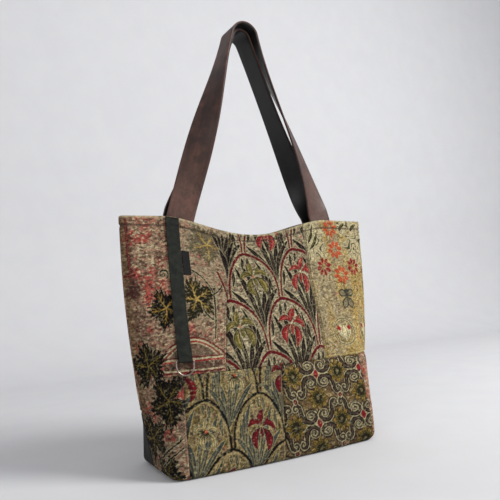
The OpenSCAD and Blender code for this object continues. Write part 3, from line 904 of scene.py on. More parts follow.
# %% Scroll
# The line of a scroll from the large spiral by the diamond to the small one by the dot, where the diamond
# is at 0, 0 and the dot at 1, 1
SCROLL = np.array([(0.29, 0.38), (0.22, 0.35), (0.24, 0.26), (0.35, 0.24), (0.44, 0.33), (0.40, 0.47),
                   (0.25, 0.51), (0.10, 0.43), (0.07, 0.27), (0.17, 0.13), (0.36, 0.09), (0.56, 0.18),
                   (0.66, 0.36), (0.67, 0.56), (0.69, 0.73), (0.77, 0.85), (0.89, 0.83), (0.95, 0.71),
                   (0.88, 0.62), (0.80, 0.67)])
SCROLL_WIDTHS = [2.6, 1.4, 1.4, 1.6, 3.0, 5.2, 6.0, 5.0, 3.2, 2.2, 1.8]


def smooth_line(pts, rounds=2):
    """Cuts the corners of a line of points."""
    for _ in range(rounds):
        a, b = pts[:-1], pts[1:]
        cut = np.stack([mix(a, b, 0.25), mix(a, b, 0.75)], axis=1).reshape(-1, 2)
        pts = np.concatenate([pts[:1], cut, pts[-1:]])
    return pts


def dye_scrolls(cloth, lines):
    """A broad shade first, then every scroll with a cream outline and a paler middle."""
    widths = np.array(SCROLL_WIDTHS) * 1.25
    for pts in lines:
        stroke(cloth, pts, widths + 6.0, mix(UMBER, BLACK, 0.4), lift=0.2)
    for pts in lines:
        stroke(cloth, pts, widths, BLACK, halo=mix(CREAM, STRAW, 0.2), lift=0.45, halo_width=0.95)
        stroke(cloth, pts, widths * 0.42, mix(UMBER, TAUPE, 0.4), lift=0.5)


# %% Dye the scroll patch
SCROLL_PITCH, SCROLL_RISE = 75.0, 31.5


def dye_scroll_patch(cloth):
    speckle(cloth, UMBER, 0.40, 0.7, 171)
    speckle(cloth, mix(STRAW, CREAM, 0.4), 0.16, 0.7, 172, size=3.0)
    speckle(cloth, ROSE, 0.08, 0.45, 173, size=3.0)
    tiles = []
    for j in range(-1, 5):
        for i in range(-2, 4):
            x = 22 + SCROLL_PITCH * i + (SCROLL_PITCH / 2 - 3) * (j % 2) - 8 * (j // 2)
            at = np.array([x, 97 - SCROLL_RISE * j])
            tiles.append((j, at, at + np.array([SCROLL_PITCH / 2, 0])))
    lines = []
    for j, at, mid in tiles:
        for fx, fy in [(-1, -1), (-1, 1), (1, -1), (1, 1)] if j % 2 == 0 else []:
            reach = np.array([fx * SCROLL_PITCH / 2 - fy * 2.0, fy * SCROLL_RISE])
            lines.append(mid + smooth_line(SCROLL) * reach)
    dye_scrolls(cloth, lines)
    for j, at, mid in tiles:
        rosette(cloth, at, 16.0)
        if j % 2:
            disc(cloth, mid, 3.2, mix(WINE, BLACK, 0.2), halo=CREAM)
            disc(cloth, mid, 1.0, ROSE)
        else:
            up = np.array([0, 6.0])
            leaf(cloth, mid - up, mid + up, 8, mix(RED, WINE, 0.25), halo=CREAM, lift=0.4, blunt=1.0)
    # Painted shade: the patch is dyed darker towards its foot, where less light reaches it
    cloth.colour *= (0.86 - 0.26 * clamp(1 - cloth.y / SEAM_HEIGHT))[:, None]


# %% Finish of the dyed cloth
def yarn_mix(cloth):
    """Single yarns of the ground show through every motif, and no two yarns took the dye alike."""
    speckle(cloth, BLACK, 0.20, 0.5, 191, size=1.7)
    speckle(cloth, CREAM, 0.13, 0.22, 192, size=1.7)
    shade = 0.62 + 0.76 * cloth.cloud(1.1, 193, WEFT)
    cloth.colour *= shade[:, None]


def hem_wear_highlight_and_shade(cloth):
    """Pales the fold of the hem, as rubbed wear and painted highlight, and paints shade in the stitch groove.
    """
    below = BAG_HEIGHT - PATTERN_FOOT - cloth.y
    rub_and_highlight = cloth.cloud(4.0, 194)
    # Painted highlight, with rubbed wear, on the fold of the hem
    cloth.wash(0.75 * rub_and_highlight * clamp((3.0 - below) / 2.0), CREAM)
    # Painted shade in the groove along the hem stitches
    cloth.wash(0.55 * bell((below - HEM_DEPTH) / 1.3), UMBER)


def dye_back(cloth):
    rose_ground(cloth, 181)
    speckle(cloth, TAUPE, 0.3, 0.4, 188, size=6.0, stretch=1.6)


# %% [markdown]
# ## Tapestry material
# Tapestry is thick, matt and ribbed by its weft. The dye comes from the mesh, so the nodes add what the mesh
# is too coarse for: the over and under of the yarns as bump, a fuzz of lighter and darker yarns, and
# roughness that follows them. The place on the cloth is an attribute in millimetres, so the weave keeps its
# scale on every patch and follows the folds.


# %% Node helpers
def new_material(name, gloss=None):
    material = bpy.data.materials.new(name)
    material.use_nodes = True
    tree = material.node_tree
    shader = tree.nodes["Principled BSDF"]
    if gloss is not None:
        shader.inputs["Specular IOR Level"].default_value = gloss
    return material, tree, shader


def add_node(tree, kind, **settings):
    node = tree.nodes.new(kind)
    for key, value in settings.items():
        if key in node.inputs:
            node.inputs[key].default_value = value
        else:
            setattr(node, key, value)
    return node


def math_node(tree, operation, a, b=None):
    node = tree.nodes.new("ShaderNodeMath")
    node.operation = operation
    for socket, value in zip(node.inputs, (a, b)):
        if isinstance(value, (int, float)):
            socket.default_value = value
        elif value is not None:
            tree.links.new(value, socket)
    return node.outputs[0]


def mix_colours(tree, blend, factor, a, b):
    node = tree.nodes.new("ShaderNodeMix")
    node.data_type = "RGBA"
    node.blend_type = blend
    for socket, value in zip((node.inputs[0], node.inputs[6], node.inputs[7]), (factor, a, b)):
        if isinstance(value, bpy.types.NodeSocket):
            tree.links.new(value, socket)
        else:
            socket.default_value = value
    return node.outputs[2]


def spread(tree, value, low, high, out_low, out_high):
    node = add_node(tree, "ShaderNodeMapRange")
    tree.links.new(value, node.inputs[0])
    for k, number in enumerate((low, high, out_low, out_high)):
        node.inputs[k + 1].default_value = number
    return node.outputs[0]


def noise(tree, vector, scale, detail=3.0):
    node = add_node(tree, "ShaderNodeTexNoise", Scale=scale, Detail=detail)
    tree.links.new(vector, node.inputs["Vector"])
    return node.outputs["Fac"]


def bump(tree, height, strength, distance, shader):
    node = add_node(tree, "ShaderNodeBump", Strength=strength, Distance=distance)
    tree.links.new(height, node.inputs["Height"])
    tree.links.new(node.outputs[0], shader.inputs["Normal"])


def attribute(tree, name, output="Vector"):
    return add_node(tree, "ShaderNodeAttribute", attribute_name=name).outputs[output]


def object_place(tree):
    return add_node(tree, "ShaderNodeTexCoord").outputs["Object"]


def paint(tree, shader, factor, low, high):
    """Colours a shader between two inks."""
    tone = mix_colours(tree, "MIX", factor, (*low, 1), (*high, 1))
    tree.links.new(tone, shader.inputs["Base Color"])


def roughen(tree, shader, value, low, high, start, end):
    tree.links.new(spread(tree, value, low, high, start, end), shader.inputs["Roughness"])


# %% Woven materials
FULL_TURN = 6.2832
WEAVE = (-1.6, 1.6)


def weave_height(tree, thread, warp, weft):
    """Over and under: the product of two waves, warped a little so that no two yarns are alike."""
    parts = add_node(tree, "ShaderNodeSeparateXYZ")
    tree.links.new(thread, parts.inputs[0])
    wander = spread(tree, noise(tree, thread, 0.35), 0, 1, -1.2, 1.2)
    x, y = (math_node(tree, "ADD", math_node(tree, "MULTIPLY", part, FULL_TURN / pitch), wander)
            for part, pitch in zip(parts.outputs, (warp, weft)))
    over = math_node(tree, "MULTIPLY", math_node(tree, "SINE", x), math_node(tree, "SINE", y))
    rib = math_node(tree, "MULTIPLY", math_node(tree, "SINE", math_node(tree, "MULTIPLY", y, 2.0)), 0.6)
    return math_node(tree, "ADD", over, rib)


def woven(name, warp, weft, fuzz, strength, sheen):
    material, tree, shader = new_material(name, gloss=0.06)
    dye = attribute(tree, "dye", "Color")
    thread = attribute(tree, "thread")
    height = weave_height(tree, thread, warp, weft)
    yarns = spread(tree, noise(tree, thread, 1.1, 4.0), 0.3, 0.7, 1 - fuzz, 1 + fuzz)
    # Painted shade: the dye is darker where a yarn dips under its neighbours
    shade = spread(tree, height, *WEAVE, 0.74, 1.16)
    tint = math_node(tree, "MULTIPLY", yarns, shade)
    grey = add_node(tree, "ShaderNodeCombineColor")
    for socket in grey.inputs[:3]:
        tree.links.new(tint, socket)
    tree.links.new(mix_colours(tree, "MULTIPLY", 1.0, dye, grey.outputs[0]), shader.inputs["Base Color"])
    roughen(tree, shader, height, *WEAVE, 0.98, 0.82)
    shader.inputs["Sheen Weight"].default_value = sheen
    shader.inputs["Sheen Roughness"].default_value = 0.5
    bump(tree, height, strength, 0.0004, shader)
    return material


tapestry = woven("tapestry", warp=1.5, weft=1.3, fuzz=0.34, strength=0.75, sheen=0.02)
plain_cotton = woven("plain_cotton", warp=0.9, weft=0.9, fuzz=0.12, strength=0.4, sheen=0.03)
print("woven finishes:", tapestry.name, plain_cotton.name)

# %% [markdown]
# ## The seven patches
# Each patch is cut between its seams and dyed flat, and then laid on the wall. Its raw edges turn in at the
# seams, as a sewn seam hides them, and the upper patches turn over the rim as a hem. Points stand less than a
# millimetre apart, so the pattern, its raised yarns and the puckers are all in the mesh.

# %% Cutting a patch
PITCH = 0.78
TURN_IN = np.array([0.5, 1.3, 2.6])
HEM_ROUND = 1.1
HEM_INSIDE = np.array([3.0, 7.0, 11.0])
HEM_DEEPEST = 2.6
CLEAR = 0.2
SEAM_CLEAR, SEAM_CLEAR_T = CLEAR / HALF_GIRTH, CLEAR / BAG_HEIGHT


def patch_grid(left, right, low, high, pitch, hem):
    """Places q and t of a patch, with how far its borders turn in and its hem goes over the rim."""
    width = (max(right) - min(left)) * HALF_GIRTH
    across = np.linspace(0, 1, int(width / pitch) + 1)
    rise = np.linspace(0, 1, int((high - low) * BAG_HEIGHT / pitch) + 1)
    pad = len(TURN_IN)
    u = np.concatenate([np.zeros(pad), across, np.ones(pad)])
    in_u = np.concatenate([TURN_IN[::-1], np.zeros(len(across)), TURN_IN])
    w = np.concatenate([np.zeros(pad), rise, [] if hem else np.ones(pad)])
    in_w = np.concatenate([TURN_IN[::-1], np.zeros(len(rise)), [] if hem else TURN_IN])
    w, u = np.meshgrid(w, u, indexing="ij")
    in_w, in_u = np.meshgrid(in_w, in_u, indexing="ij")
    start, end = mix(left[0], left[1], w) + SEAM_CLEAR, mix(right[0], right[1], w) - SEAM_CLEAR
    return mix(start, end, u), mix(low, high, w), np.hypot(in_u, in_w)


def hem_rows(q, inside, side):
    """Rows that turn over the rim and run down behind it."""
    start = keep_in(inside - swell(q, np.ones_like(q), side))
    rows = []
    for a in np.radians([35, 70, 105, 140, 180]):
        row = wall(q, 1.0, np.minimum(start + HEM_ROUND * (1 - np.cos(a)), HEM_DEEPEST), side)
        row[:, 2] += HEM_ROUND * np.sin(a)
        rows.append(row)
    for down in HEM_INSIDE:
        depth = np.minimum(start * np.exp(-down / 3) + 2 * HEM_ROUND, HEM_DEEPEST)
        rows.append(wall(q, 1 - down / BAG_HEIGHT, depth, side))
    return np.array(rows)


# %% Cloth under the tape and the ring
TAPE_WIDTH = 18.0
TAPE_Q = (-0.618, -0.65)
RING_HEIGHT = 136.0
RING_T = RING_HEIGHT / BAG_HEIGHT
FOLD_TOP = 12.0
RING_ROOM = (14.0, 18.0)
RING_LOW = 4.0
TAPE_MARGIN = 0.5
TAPE_PRESS, RING_PRESS = 0.15, 0.1


def tape_line(t):
    return mix(TAPE_Q[0], TAPE_Q[1], (t - RING_T) / (1 - RING_T))


def held_down(q, t):
    """How far the cloth may stand out where the tape and the ring press it flat."""
    middle = tape_line(t)
    beside = np.abs(q - middle) * HALF_GIRTH - TAPE_WIDTH / 2 - TAPE_MARGIN
    tape_limit = TAPE_PRESS - keep_in(-front_swell(middle, t)) + np.clip(beside, 0, None)
    away = np.maximum(np.abs(q - TAPE_Q[0]) * HALF_GIRTH - RING_ROOM[0],
                      np.abs(t * BAG_HEIGHT - RING_HEIGHT + RING_LOW) - RING_ROOM[1])
    ring_limit = RING_PRESS - seam_dip(q, t) + 0.5 * np.clip(away, 0, None)
    along_tape = t * BAG_HEIGHT > RING_HEIGHT + FOLD_TOP
    return np.where(along_tape, np.minimum(tape_limit, ring_limit), ring_limit)


# %% Sewing a patch
def sew_patch(name, left, right, low, high, ground, dyer, slot, side=-1, pitch=PITCH):
    hem = high > 0.99
    q, t, inside = patch_grid(left, right, low, high, pitch, hem)
    cloth = Cloth(q, t, ground)
    dyer(cloth)
    yarn_mix(cloth)
    hem_wear_highlight_and_shade(cloth)
    depth = inside - swell(q, t, side) - cloth.lift.reshape(q.shape)
    if side < 0:
        depth = np.maximum(depth, -held_down(q, t))
    points = wall(q, t, keep_in(depth), side)
    colour = cloth.colour.reshape(q.shape + (3,))
    thread = pack(q * HALF_GIRTH, t * BAG_HEIGHT, np.zeros_like(q))
    if hem:
        over = hem_rows(q[-1], inside[-1], side)
        points = np.concatenate([points, over])
        n = len(over)
        colour = np.concatenate([colour, np.repeat(colour[-1:], n, axis=0)])
        more = np.repeat(thread[-1:], n, axis=0)
        more[:, :, 1] += np.linspace(1, 12, n)[:, None]
        thread = np.concatenate([thread, more])
    rows, cols = points.shape[:2]
    dye = np.concatenate([colour, np.ones((rows, cols, 1))], axis=-1)
    marks = {"dye": dye, "thread": thread}
    obj = make_piece(name, points, grid_faces(rows, cols, flip=side > 0), marks)
    return fit(obj, tapestry, slot, name.replace("_cloth", ""))


# %% The front patches
ROSE_GROUND = mix(GREIGE, ROSE, 0.28)
GOLD_GROUND = mix(OCHRE, STRAW, 0.45)
PATCHES = [
    ("left_upper_patch_cloth", (-1, -1), UPPER_SEAMS[0], True, ROSE_GROUND, dye_left_upper, "red_tapestry"),
    ("arch_patch_cloth", UPPER_SEAMS[0], UPPER_SEAMS[1], True, GREIGE, dye_arch_patch, "beige_tapestry"),
    ("gold_patch_cloth", UPPER_SEAMS[1], (1, 1), True, GOLD_GROUND, dye_gold_patch, "gold_tapestry"),
    ("left_lower_patch_cloth", (-1, -1), LOWER_SEAMS[0], False, ROSE_GROUND, dye_left_lower, "red_tapestry"),
    ("lower_arch_patch_cloth", LOWER_SEAMS[0], LOWER_SEAMS[1], False, mix(OCHRE, GREIGE, 0.6),
     dye_lower_arch_patch, "straw_tapestry"),
    ("scroll_patch_cloth", LOWER_SEAMS[1], LOWER_SEAMS[2], False, mix(TAUPE, OCHRE, 0.3), dye_scroll_patch,
     "taupe_tapestry"),
    ("right_side_patch_cloth", LOWER_SEAMS[2], (1, 1), False, ROSE_GROUND, dye_right_side, "red_tapestry"),
]
for name, left, right, upper, ground, dyer, slot in PATCHES:
    low, high = (SEAM_T + SEAM_CLEAR_T, 1.0) if upper else (0.0, SEAM_T - SEAM_CLEAR_T)
    sew_patch(name, left, right, low, high, ground, dyer, slot)

# %% The back panel
BACK_PITCH = 1.4
back_cloth = sew_patch("back_panel_cloth", (-1, -1), (1, 1), BAND_T + SEAM_CLEAR_T, 1.0, ROSE_GROUND, dye_back,
                       "back_tapestry", side=1, pitch=BACK_PITCH)

# %% [markdown]
# ## Leather
# The base and the handles are smooth leather that has darkened and rubbed lighter along its edges. Streaks
# along the strap, a fine pebble in the surface and a softer gloss where hands have polished it come from
# stretched noise and a cell pattern. The wear is an attribute that is 1 on the edges of a piece. On the straps
# it also lightens the ends, partly as rubbed wear and partly as painted light.


# %% Leather materials
def leather(name, dark, light, edge, rough, gloss, pebble, stretch, mottle=0.0):
    material, tree, shader = new_material(name, gloss)
    thread = attribute(tree, "thread")
    worn = attribute(tree, "worn", "Fac")
    mapping = add_node(tree, "ShaderNodeMapping")
    mapping.inputs["Scale"].default_value = (1.0, stretch, 1.0)
    tree.links.new(thread, mapping.inputs["Vector"])
    streaks = noise(tree, mapping.outputs[0], 0.09, 6.0)
    wear = spread(tree, noise(tree, thread, 0.022, 4.0), 0.35, 0.7, 0.25, 1)
    blend = math_node(tree, "MULTIPLY", spread(tree, streaks, 0.32, 0.68, 0, 1), wear)
    body = mix_colours(tree, "MIX", blend, (*dark, 1), (*light, 1))
    stains = spread(tree, noise(tree, thread, 0.06, 5.0), 0.42, 0.62, 0.0, mottle)
    body = mix_colours(tree, "MIX", stains, body, (*(dark * 0.7), 1))
    # Edge ink where the worn attribute is high: rubbed wear, and painted light at the ends of the straps
    rubbed = math_node(tree, "MULTIPLY", worn, spread(tree, noise(tree, thread, 0.3), 0.3, 0.6, 0.35, 1))
    tree.links.new(mix_colours(tree, "MIX", rubbed, body, (*edge, 1)), shader.inputs["Base Color"])
    roughen(tree, shader, streaks, 0.3, 0.7, rough, rough + 0.18)
    cells = add_node(tree, "ShaderNodeTexVoronoi", Scale=pebble)
    tree.links.new(thread, cells.inputs["Vector"])
    grain = math_node(tree, "ADD", cells.outputs["Distance"], math_node(tree, "MULTIPLY", streaks, 1.4))
    bump(tree, grain, 0.35, 0.0003, shader)
    return material


strap_hide = leather("strap_leather", ink(40, 23, 18), ink(98, 62, 50), ink(104, 72, 60),
                     rough=0.40, gloss=0.34, pebble=0.9, stretch=0.12, mottle=0.75)
strap_lining = leather("strap_backing", ink(13, 12, 12), ink(34, 32, 30), ink(30, 27, 25),
                       rough=0.34, gloss=0.3, pebble=0.5, stretch=0.2, mottle=0.4)
base_hide = leather("base_leather", ink(17, 15, 14), ink(34, 30, 28), ink(48, 41, 37),
                    rough=0.55, gloss=0.15, pebble=0.8, stretch=0.6)
print("leathers:", strap_hide.name, strap_lining.name, base_hide.name)

# %% [markdown]
# ## The base
# The floor and a band up the back are one piece of dark leather. The floor is drawn as rings that shrink
# from its border to the middle, because straight rows would pile up where the front and back borders meet
# at the sides. It bows up by a millimetre between its edges.


# %% Floor and back band
def loop_places(count):
    """Places round the whole girth: along the front, then back along the rear face."""
    front = np.linspace(-1, 1, count)
    return np.concatenate([front, front[-2:0:-1]]), np.concatenate([-np.ones(count), np.ones(count - 2)])


def loop_points(t, d, count):
    q, face = loop_places(count)
    t, d = np.broadcast_to(t, q.shape), np.broadcast_to(d, q.shape)
    front, back = wall(q, t, d, -1), wall(q, t, d, 1)
    return np.where(face[:, None] < 0, front, back)


LEATHER_COLUMNS = 221
border = loop_points(0.0, 0.0, LEATHER_COLUMNS)
shrink = np.linspace(0.998, 0.02, 40)
floor = border[None] * shrink[:, None, None]
floor[:, :, 2] = 0.9 * (1 - shrink[:, None] ** 4)
q_band = np.linspace(-1 + SEAM_CLEAR, 1 - SEAM_CLEAR, LEATHER_COLUMNS)
BAND_TOP = BAND_T - SEAM_CLEAR_T
t_band = np.concatenate([np.linspace(0, EDGE_RADIUS / BAG_HEIGHT, 10), np.linspace(0.036, BAND_TOP, 40)])
tt, qq = np.meshgrid(np.concatenate([t_band, np.full(3, BAND_TOP)]), q_band, indexing="ij")
turned = np.concatenate([np.zeros(len(t_band)), TURN_IN])[:, None]
band = wall(qq, tt, turned + 0.8 * bell((tt - BAND_T) * BAG_HEIGHT / 2), 1)

faces = [grid_faces(*floor.shape[:2], close=True, flip=True),
         grid_faces(*band.shape[:2], start=floor[:, :, 0].size, flip=True)]
points = np.concatenate([floor.reshape(-1, 3), band.reshape(-1, 3)])
worn = np.concatenate([np.repeat(clamp((shrink - 0.95) * 20), floor.shape[1]),
                       bell(tt * BAG_HEIGHT / 7).ravel()])
band_thread = pack(qq * HALF_GIRTH, tt * BAG_HEIGHT, tt * 0)
thread = np.concatenate([floor.reshape(-1, 3), band_thread.reshape(-1, 3)])
base_leather = make_piece("base_leather_panel", points, np.concatenate(faces), {"worn": worn, "thread": thread})
fit(base_leather, base_hide, "dark_leather", "base_panel")

# %% [markdown]
# ## Lining and facing
# Inside, a dark cotton lining hangs loose from a facing that stiffens the rim. They are closed loops of the
# same wall, set further in. The lining has waves of its own, since nothing stretches it, and a floor of rings
# that shrink.


# %% Facing
def hang(t):
    """0 at the top and the foot of the lining, where it is sewn, and 1 between them."""
    return clamp((FACING_T - t) / 0.06) * clamp(t / 0.04)


def loop_piece(name, rows, depths, count, colour, material, slot, node, wave=0.0, floor_rings=0):
    """A loop of cloth inside the bag. With floor rings it is closed at its foot by rings that shrink."""
    q, face = loop_places(count)
    rings = []
    for t, d in zip(rows, depths):
        ripple = cloud(q * HALF_GIRTH + 300 * (face > 0), np.full_like(q, t * BAG_HEIGHT), 26.0, 71)
        ripple *= wave * clamp((1 - np.abs(q)) / 0.15) * hang(t)
        rings.append(loop_points(t, d + ripple, count))
    points = np.array(rings)
    along, up = np.meshgrid(q * HALF_GIRTH, rows * BAG_HEIGHT)
    place = pack(along, up, 0 * up)
    if floor_rings:
        shrink = np.linspace(0.98, 0.02, floor_rings)[:, None, None]
        floor = points[-1:] * np.concatenate([shrink, shrink, shrink**0], axis=-1)
        points, place = np.concatenate([points, floor]), np.concatenate([place, floor])
    marks = {"dye": np.tile(np.append(colour, 1.0), (points[:, :, 0].size, 1)), "thread": place}
    faces = grid_faces(*points.shape[:2], close=True, flip=True)
    obj = make_piece(name, points, faces, marks)
    return fit(obj, material, slot, node)


rows = np.concatenate([[1.0, 1.0, 1.0], np.linspace(0.999, FACING_T, 24), [FACING_T, FACING_T]])
depths = np.concatenate([[3.0, 3.2, 3.4], np.full(24, 3.5), [3.3, 3.0]])
facing_cloth = loop_piece("rim_facing_cloth", rows, depths, 301, ink(96, 76, 60), plain_cotton,
                          "facing", "rim_facing")

# %% Lining
LINING_TOP, LINING_SLACK = 2.6, 2.6
rows = np.concatenate([[FACING_T - 0.0015], np.linspace(FACING_T - 0.006, 0.03, 70),
                       [0.016, 0.007, 0.002, 0.0]])
depths = LINING_TOP + LINING_SLACK * hang(rows)
lining_cloth = loop_piece("lining_cloth", rows, depths, 241, ink(52, 40, 35), plain_cotton, "lining", "lining",
                          wave=1.8, floor_rings=24)

# %% [markdown]
# ## The handles
# Each handle is a flat strap of leather on a dark backing. Its ends are sewn inside the rim, and its middle
# arches over a small loop. A strap can only bend across its flat side, so between the rim, where it lies
# along the mouth, and the loop, where it faces sideways, it has to turn about its own length. The path
# is a curve with a turning frame, and a section with rounded edges is swept along it.

# %% Strap sizes
STRAP_WIDTH = 38.0
STRAP_LEATHER = 2.0
STRAP_BACKING = 1.2
HANDLE_RISE = 281.0
LOOP_SHIFT = 9.5
LOOP_RADIUS = 12.0
STRAP_PLACE = 0.583
STRAP_DEPTH = 6.0
TAIL_DEPTH = 6.2
STRAP_TOP_Y = 6.0
STRAP_SPREAD = 7.0
STRAP_STACK = 3.0
STRAP_SLANT = 0.15
STRAP_BULGE = 4.0
STRAP_TAIL = FACING_DEPTH - 2
TOP_Z = BAG_HEIGHT + HANDLE_RISE
LOOP_Z = TOP_Z - STRAP_LEATHER - (LOOP_RADIUS + STRAP_LEATHER + 2 * STRAP_BACKING + STRAP_STACK)
RIM_LENGTH = RIM_WIDTH / 2 - FOLD_RADIUS + FOLD_RADIUS * np.pi / 2


def face_turn(q, t):
    """How far the wall's face is turned from facing sideways, in degrees."""
    nx, ny = outward(q, t)
    return 90 - np.degrees(np.arctan2(np.sign(q) * nx, -ny))


def loop_radius(side):
    return LOOP_RADIUS + STRAP_BACKING + (STRAP_LEATHER + STRAP_BACKING + STRAP_STACK if side < 0 else 0)


# %% Strap path
def strap_leg(u, side, m):
    """Centre line of a leg: u is 0 at the rim and 1 at the loop, and m is -1 for the left leg."""
    rim = wall(m * STRAP_PLACE, 1.0, STRAP_DEPTH, side)
    r = loop_radius(side)
    foot = np.array([-m * (rim[0] + LOOP_SHIFT), rim[2]])
    v = foot - np.array([0, LOOP_Z])
    meet = np.pi + np.arctan2(-v[1], -v[0]) - np.arccos(r / np.hypot(*v))
    end = np.array([r * np.cos(meet), LOOP_Z + r * np.sin(meet)])
    aim = np.array([np.sin(meet), -np.cos(meet)])
    p1 = mix(foot, end, 0.3) - np.array([STRAP_BULGE, 0])
    p2 = end - 0.35 * np.hypot(*(end - foot)) * aim
    w = u[:, None]
    flat = (1 - w) ** 3 * foot + 3 * (1 - w) ** 2 * w * p1 + 3 * (1 - w) * w**2 * p2 + w**3 * end
    y = mix(rim[1], side * STRAP_TOP_Y, u) + side * STRAP_SPREAD * np.sin(np.pi * u**0.85) ** 1.5
    return pack(-LOOP_SHIFT - m * flat[:, 0], y, flat[:, 1]), meet


def strap_turn(u, side, m):
    """Turn of the strap's face: at the middle of the front left leg, slow on the right, late at the back."""
    full = face_turn(np.array(STRAP_PLACE), np.array(1.0))
    h = np.minimum((1 - u) / 0.95, 1)
    if side > 0:
        return full * h**4
    return full * h**2 * (3 - 2 * h) if m < 0 else full * h * (1.9 - 3.05 * h + 2.15 * h**2)


# %% Turning frame of a strap
def unit(v):
    return v / np.linalg.norm(v, axis=-1, keepdims=True)


def half_strap(side, m):
    """Centres, outward normals and width directions from the tail of one leg up to the top of the loop."""
    low = STRAP_TAIL * np.linspace(1, 0, 15)[:-1]
    q, t = m * (STRAP_PLACE + STRAP_SLANT * low / RIM_LENGTH), 1 - low / BAG_HEIGHT
    u = np.linspace(0, 1, 110)
    leg, meet = strap_leg(u, side, m)
    arc = np.linspace(meet, np.pi / 2, 24)[1:]
    r = loop_radius(side)
    loop = pack(-LOOP_SHIFT - m * r * np.cos(arc), 0 * arc + side * STRAP_TOP_Y, LOOP_Z + r * np.sin(arc))
    centre = np.concatenate([wall(q, t, TAIL_DEPTH, side), leg, loop])
    along = np.gradient(centre, axis=0)
    along[-1] = (-m, 0, 0)
    along = unit(along)
    turn = np.radians(np.concatenate([face_turn(q, t), strap_turn(u, side, m)]))
    facing = pack(m * np.cos(turn), side * np.sin(turn), 0 * turn)
    over = along[len(facing):]
    facing = np.concatenate([facing, pack(m * over[:, 2], 0 * over[:, 1], -m * over[:, 0])])
    normal = unit(facing - (facing * along).sum(1)[:, None] * along)
    return centre, normal, -m * np.cross(along, normal)


def strap_frame(side):
    """The whole strap: the left half up to the top of the loop, then the right half down."""
    return [np.concatenate([a, b[-2::-1]]) for a, b in zip(half_strap(side, -1), half_strap(side, 1))]


# %% Strap section and sweep
def strap_section(low, high, width, edge_round=0.75):
    """A flat section with rounded edges: places across and out of the strap."""
    half = width / 2 - edge_round
    middle, thick = (low + high) / 2, (high - low) / 2
    corner = np.radians(np.linspace(90, -90, 7))
    flat = np.linspace(-half, half, 13)
    right = [(half + edge_round * np.cos(a), middle + thick * np.sin(a)) for a in corner]
    left = [(-half - edge_round * np.cos(a), middle - thick * np.sin(a)) for a in corner]
    upper = [(x, high) for x in flat[1:-1]]
    lower = [(x, low) for x in flat[-2:0:-1]]
    return np.array(upper + right + lower + left)


def run_along(path):
    """Length of a path up to each of its points."""
    return np.concatenate([[0], np.cumsum(np.linalg.norm(np.diff(path, axis=0), axis=1))])


def sweep(name, centre, normal, across, section, rubbed_and_lit_ends=0.0):
    """Sweeps a closed section along a path and closes both ends, which may be dyed lighter for some length."""
    points = centre[:, None] + section[:, 0:1] * across[:, None] + section[:, 1:2] * normal[:, None]
    rows, cols = points.shape[:2]
    run = run_along(centre)
    thread = pack(np.tile(section[:, 0], (rows, 1)), np.tile(run[:, None], (1, cols)),
                  np.tile(section[:, 1], (rows, 1)))
    half = np.abs(section[:, 0]).max()
    worn = np.tile(0.7 * clamp((np.abs(section[:, 0]) - half + 1.2) / 1.2), (rows, 1))
    # The ends of a strap are marked lighter, partly rubbed wear and partly painted light
    if rubbed_and_lit_ends:
        end = np.minimum(run, run[-1] - run)
        worn = np.maximum(worn, 0.5 * clamp((rubbed_and_lit_ends - end) / (0.6 * rubbed_and_lit_ends))[:, None])
    caps = []
    for row in (0, rows - 1):
        ring = np.arange(cols) + row * cols
        for k in range(cols // 2 - 1):
            caps.append([ring[k], ring[k + 1], ring[cols - 2 - k], ring[cols - 1 - k]])
    faces = np.concatenate([grid_faces(rows, cols, close=True), np.array(caps)])
    marks = {"thread": thread, "worn": worn.ravel()}
    return make_piece(name, points, faces, marks)


def lay_strip(name, centre, across, section):
    """A flat strip along a path, with its face turned outwards."""
    return sweep(name, centre, -unit(np.cross(across, np.gradient(centre, axis=0))), across, section)


# %% The two handles
# Length at both strap ends that is dyed lighter: rubbed wear and painted light
RUBBED_AND_LIT_END = 150.0
PLY_GAP = 0.05
hide_section = strap_section(PLY_GAP, STRAP_LEATHER, STRAP_WIDTH)
lining_section = strap_section(-STRAP_BACKING, -PLY_GAP, STRAP_WIDTH - 0.8, 0.4)
for side, word in ((-1, "front"), (1, "back")):
    path = strap_frame(side)
    hide = sweep(f"{word}_handle_leather", *path, hide_section, RUBBED_AND_LIT_END)
    fit(hide, strap_hide, "strap_leather", f"{word}_handle")
    under = sweep(f"{word}_handle_lining", *path, lining_section)
    fit(under, strap_lining, "strap_backing", f"{word}_handle_backing")
    print(f"{word} strap is {run_along(path[0])[-1]:.0f} mm long")

# %% [markdown]
# ## Webbing tape, tag and ring
# A flat webbing tape is sewn into the hem, runs down the front and is folded up round the bar of a wire ring.
# Its path follows the same cloth as the patches, then a small arc round the bar in the ring's own frame.
# The tag is a bare strip of ribbon sewn in beside it.

# %% Ring frame
TAPE_CLOTH = 1.3
RING_WIRE = 2.4
RING_INNER = 20.0
RING_DROP = 7.0
SEAT = 0.3


def under_ring(t):
    """The smooth wall behind the foot of the tape."""
    return wall(TAPE_Q[0], t, seam_dip(TAPE_Q[0], t))


ring_v = unit(under_ring(RING_T + 0.02) - under_ring(RING_T - 0.05))
nx, ny = outward(np.array(TAPE_Q[0]), np.array(RING_T))
level = np.array([-ny, nx, 0.0])
ring_u = unit(level - (level @ ring_v) * ring_v)
ring_w = np.cross(ring_u, ring_v)
ring_at = under_ring(RING_T) + (2 * SEAT + TAPE_CLOTH + RING_WIRE / 2) * ring_w
print("ring bar at", ring_at.round(2))

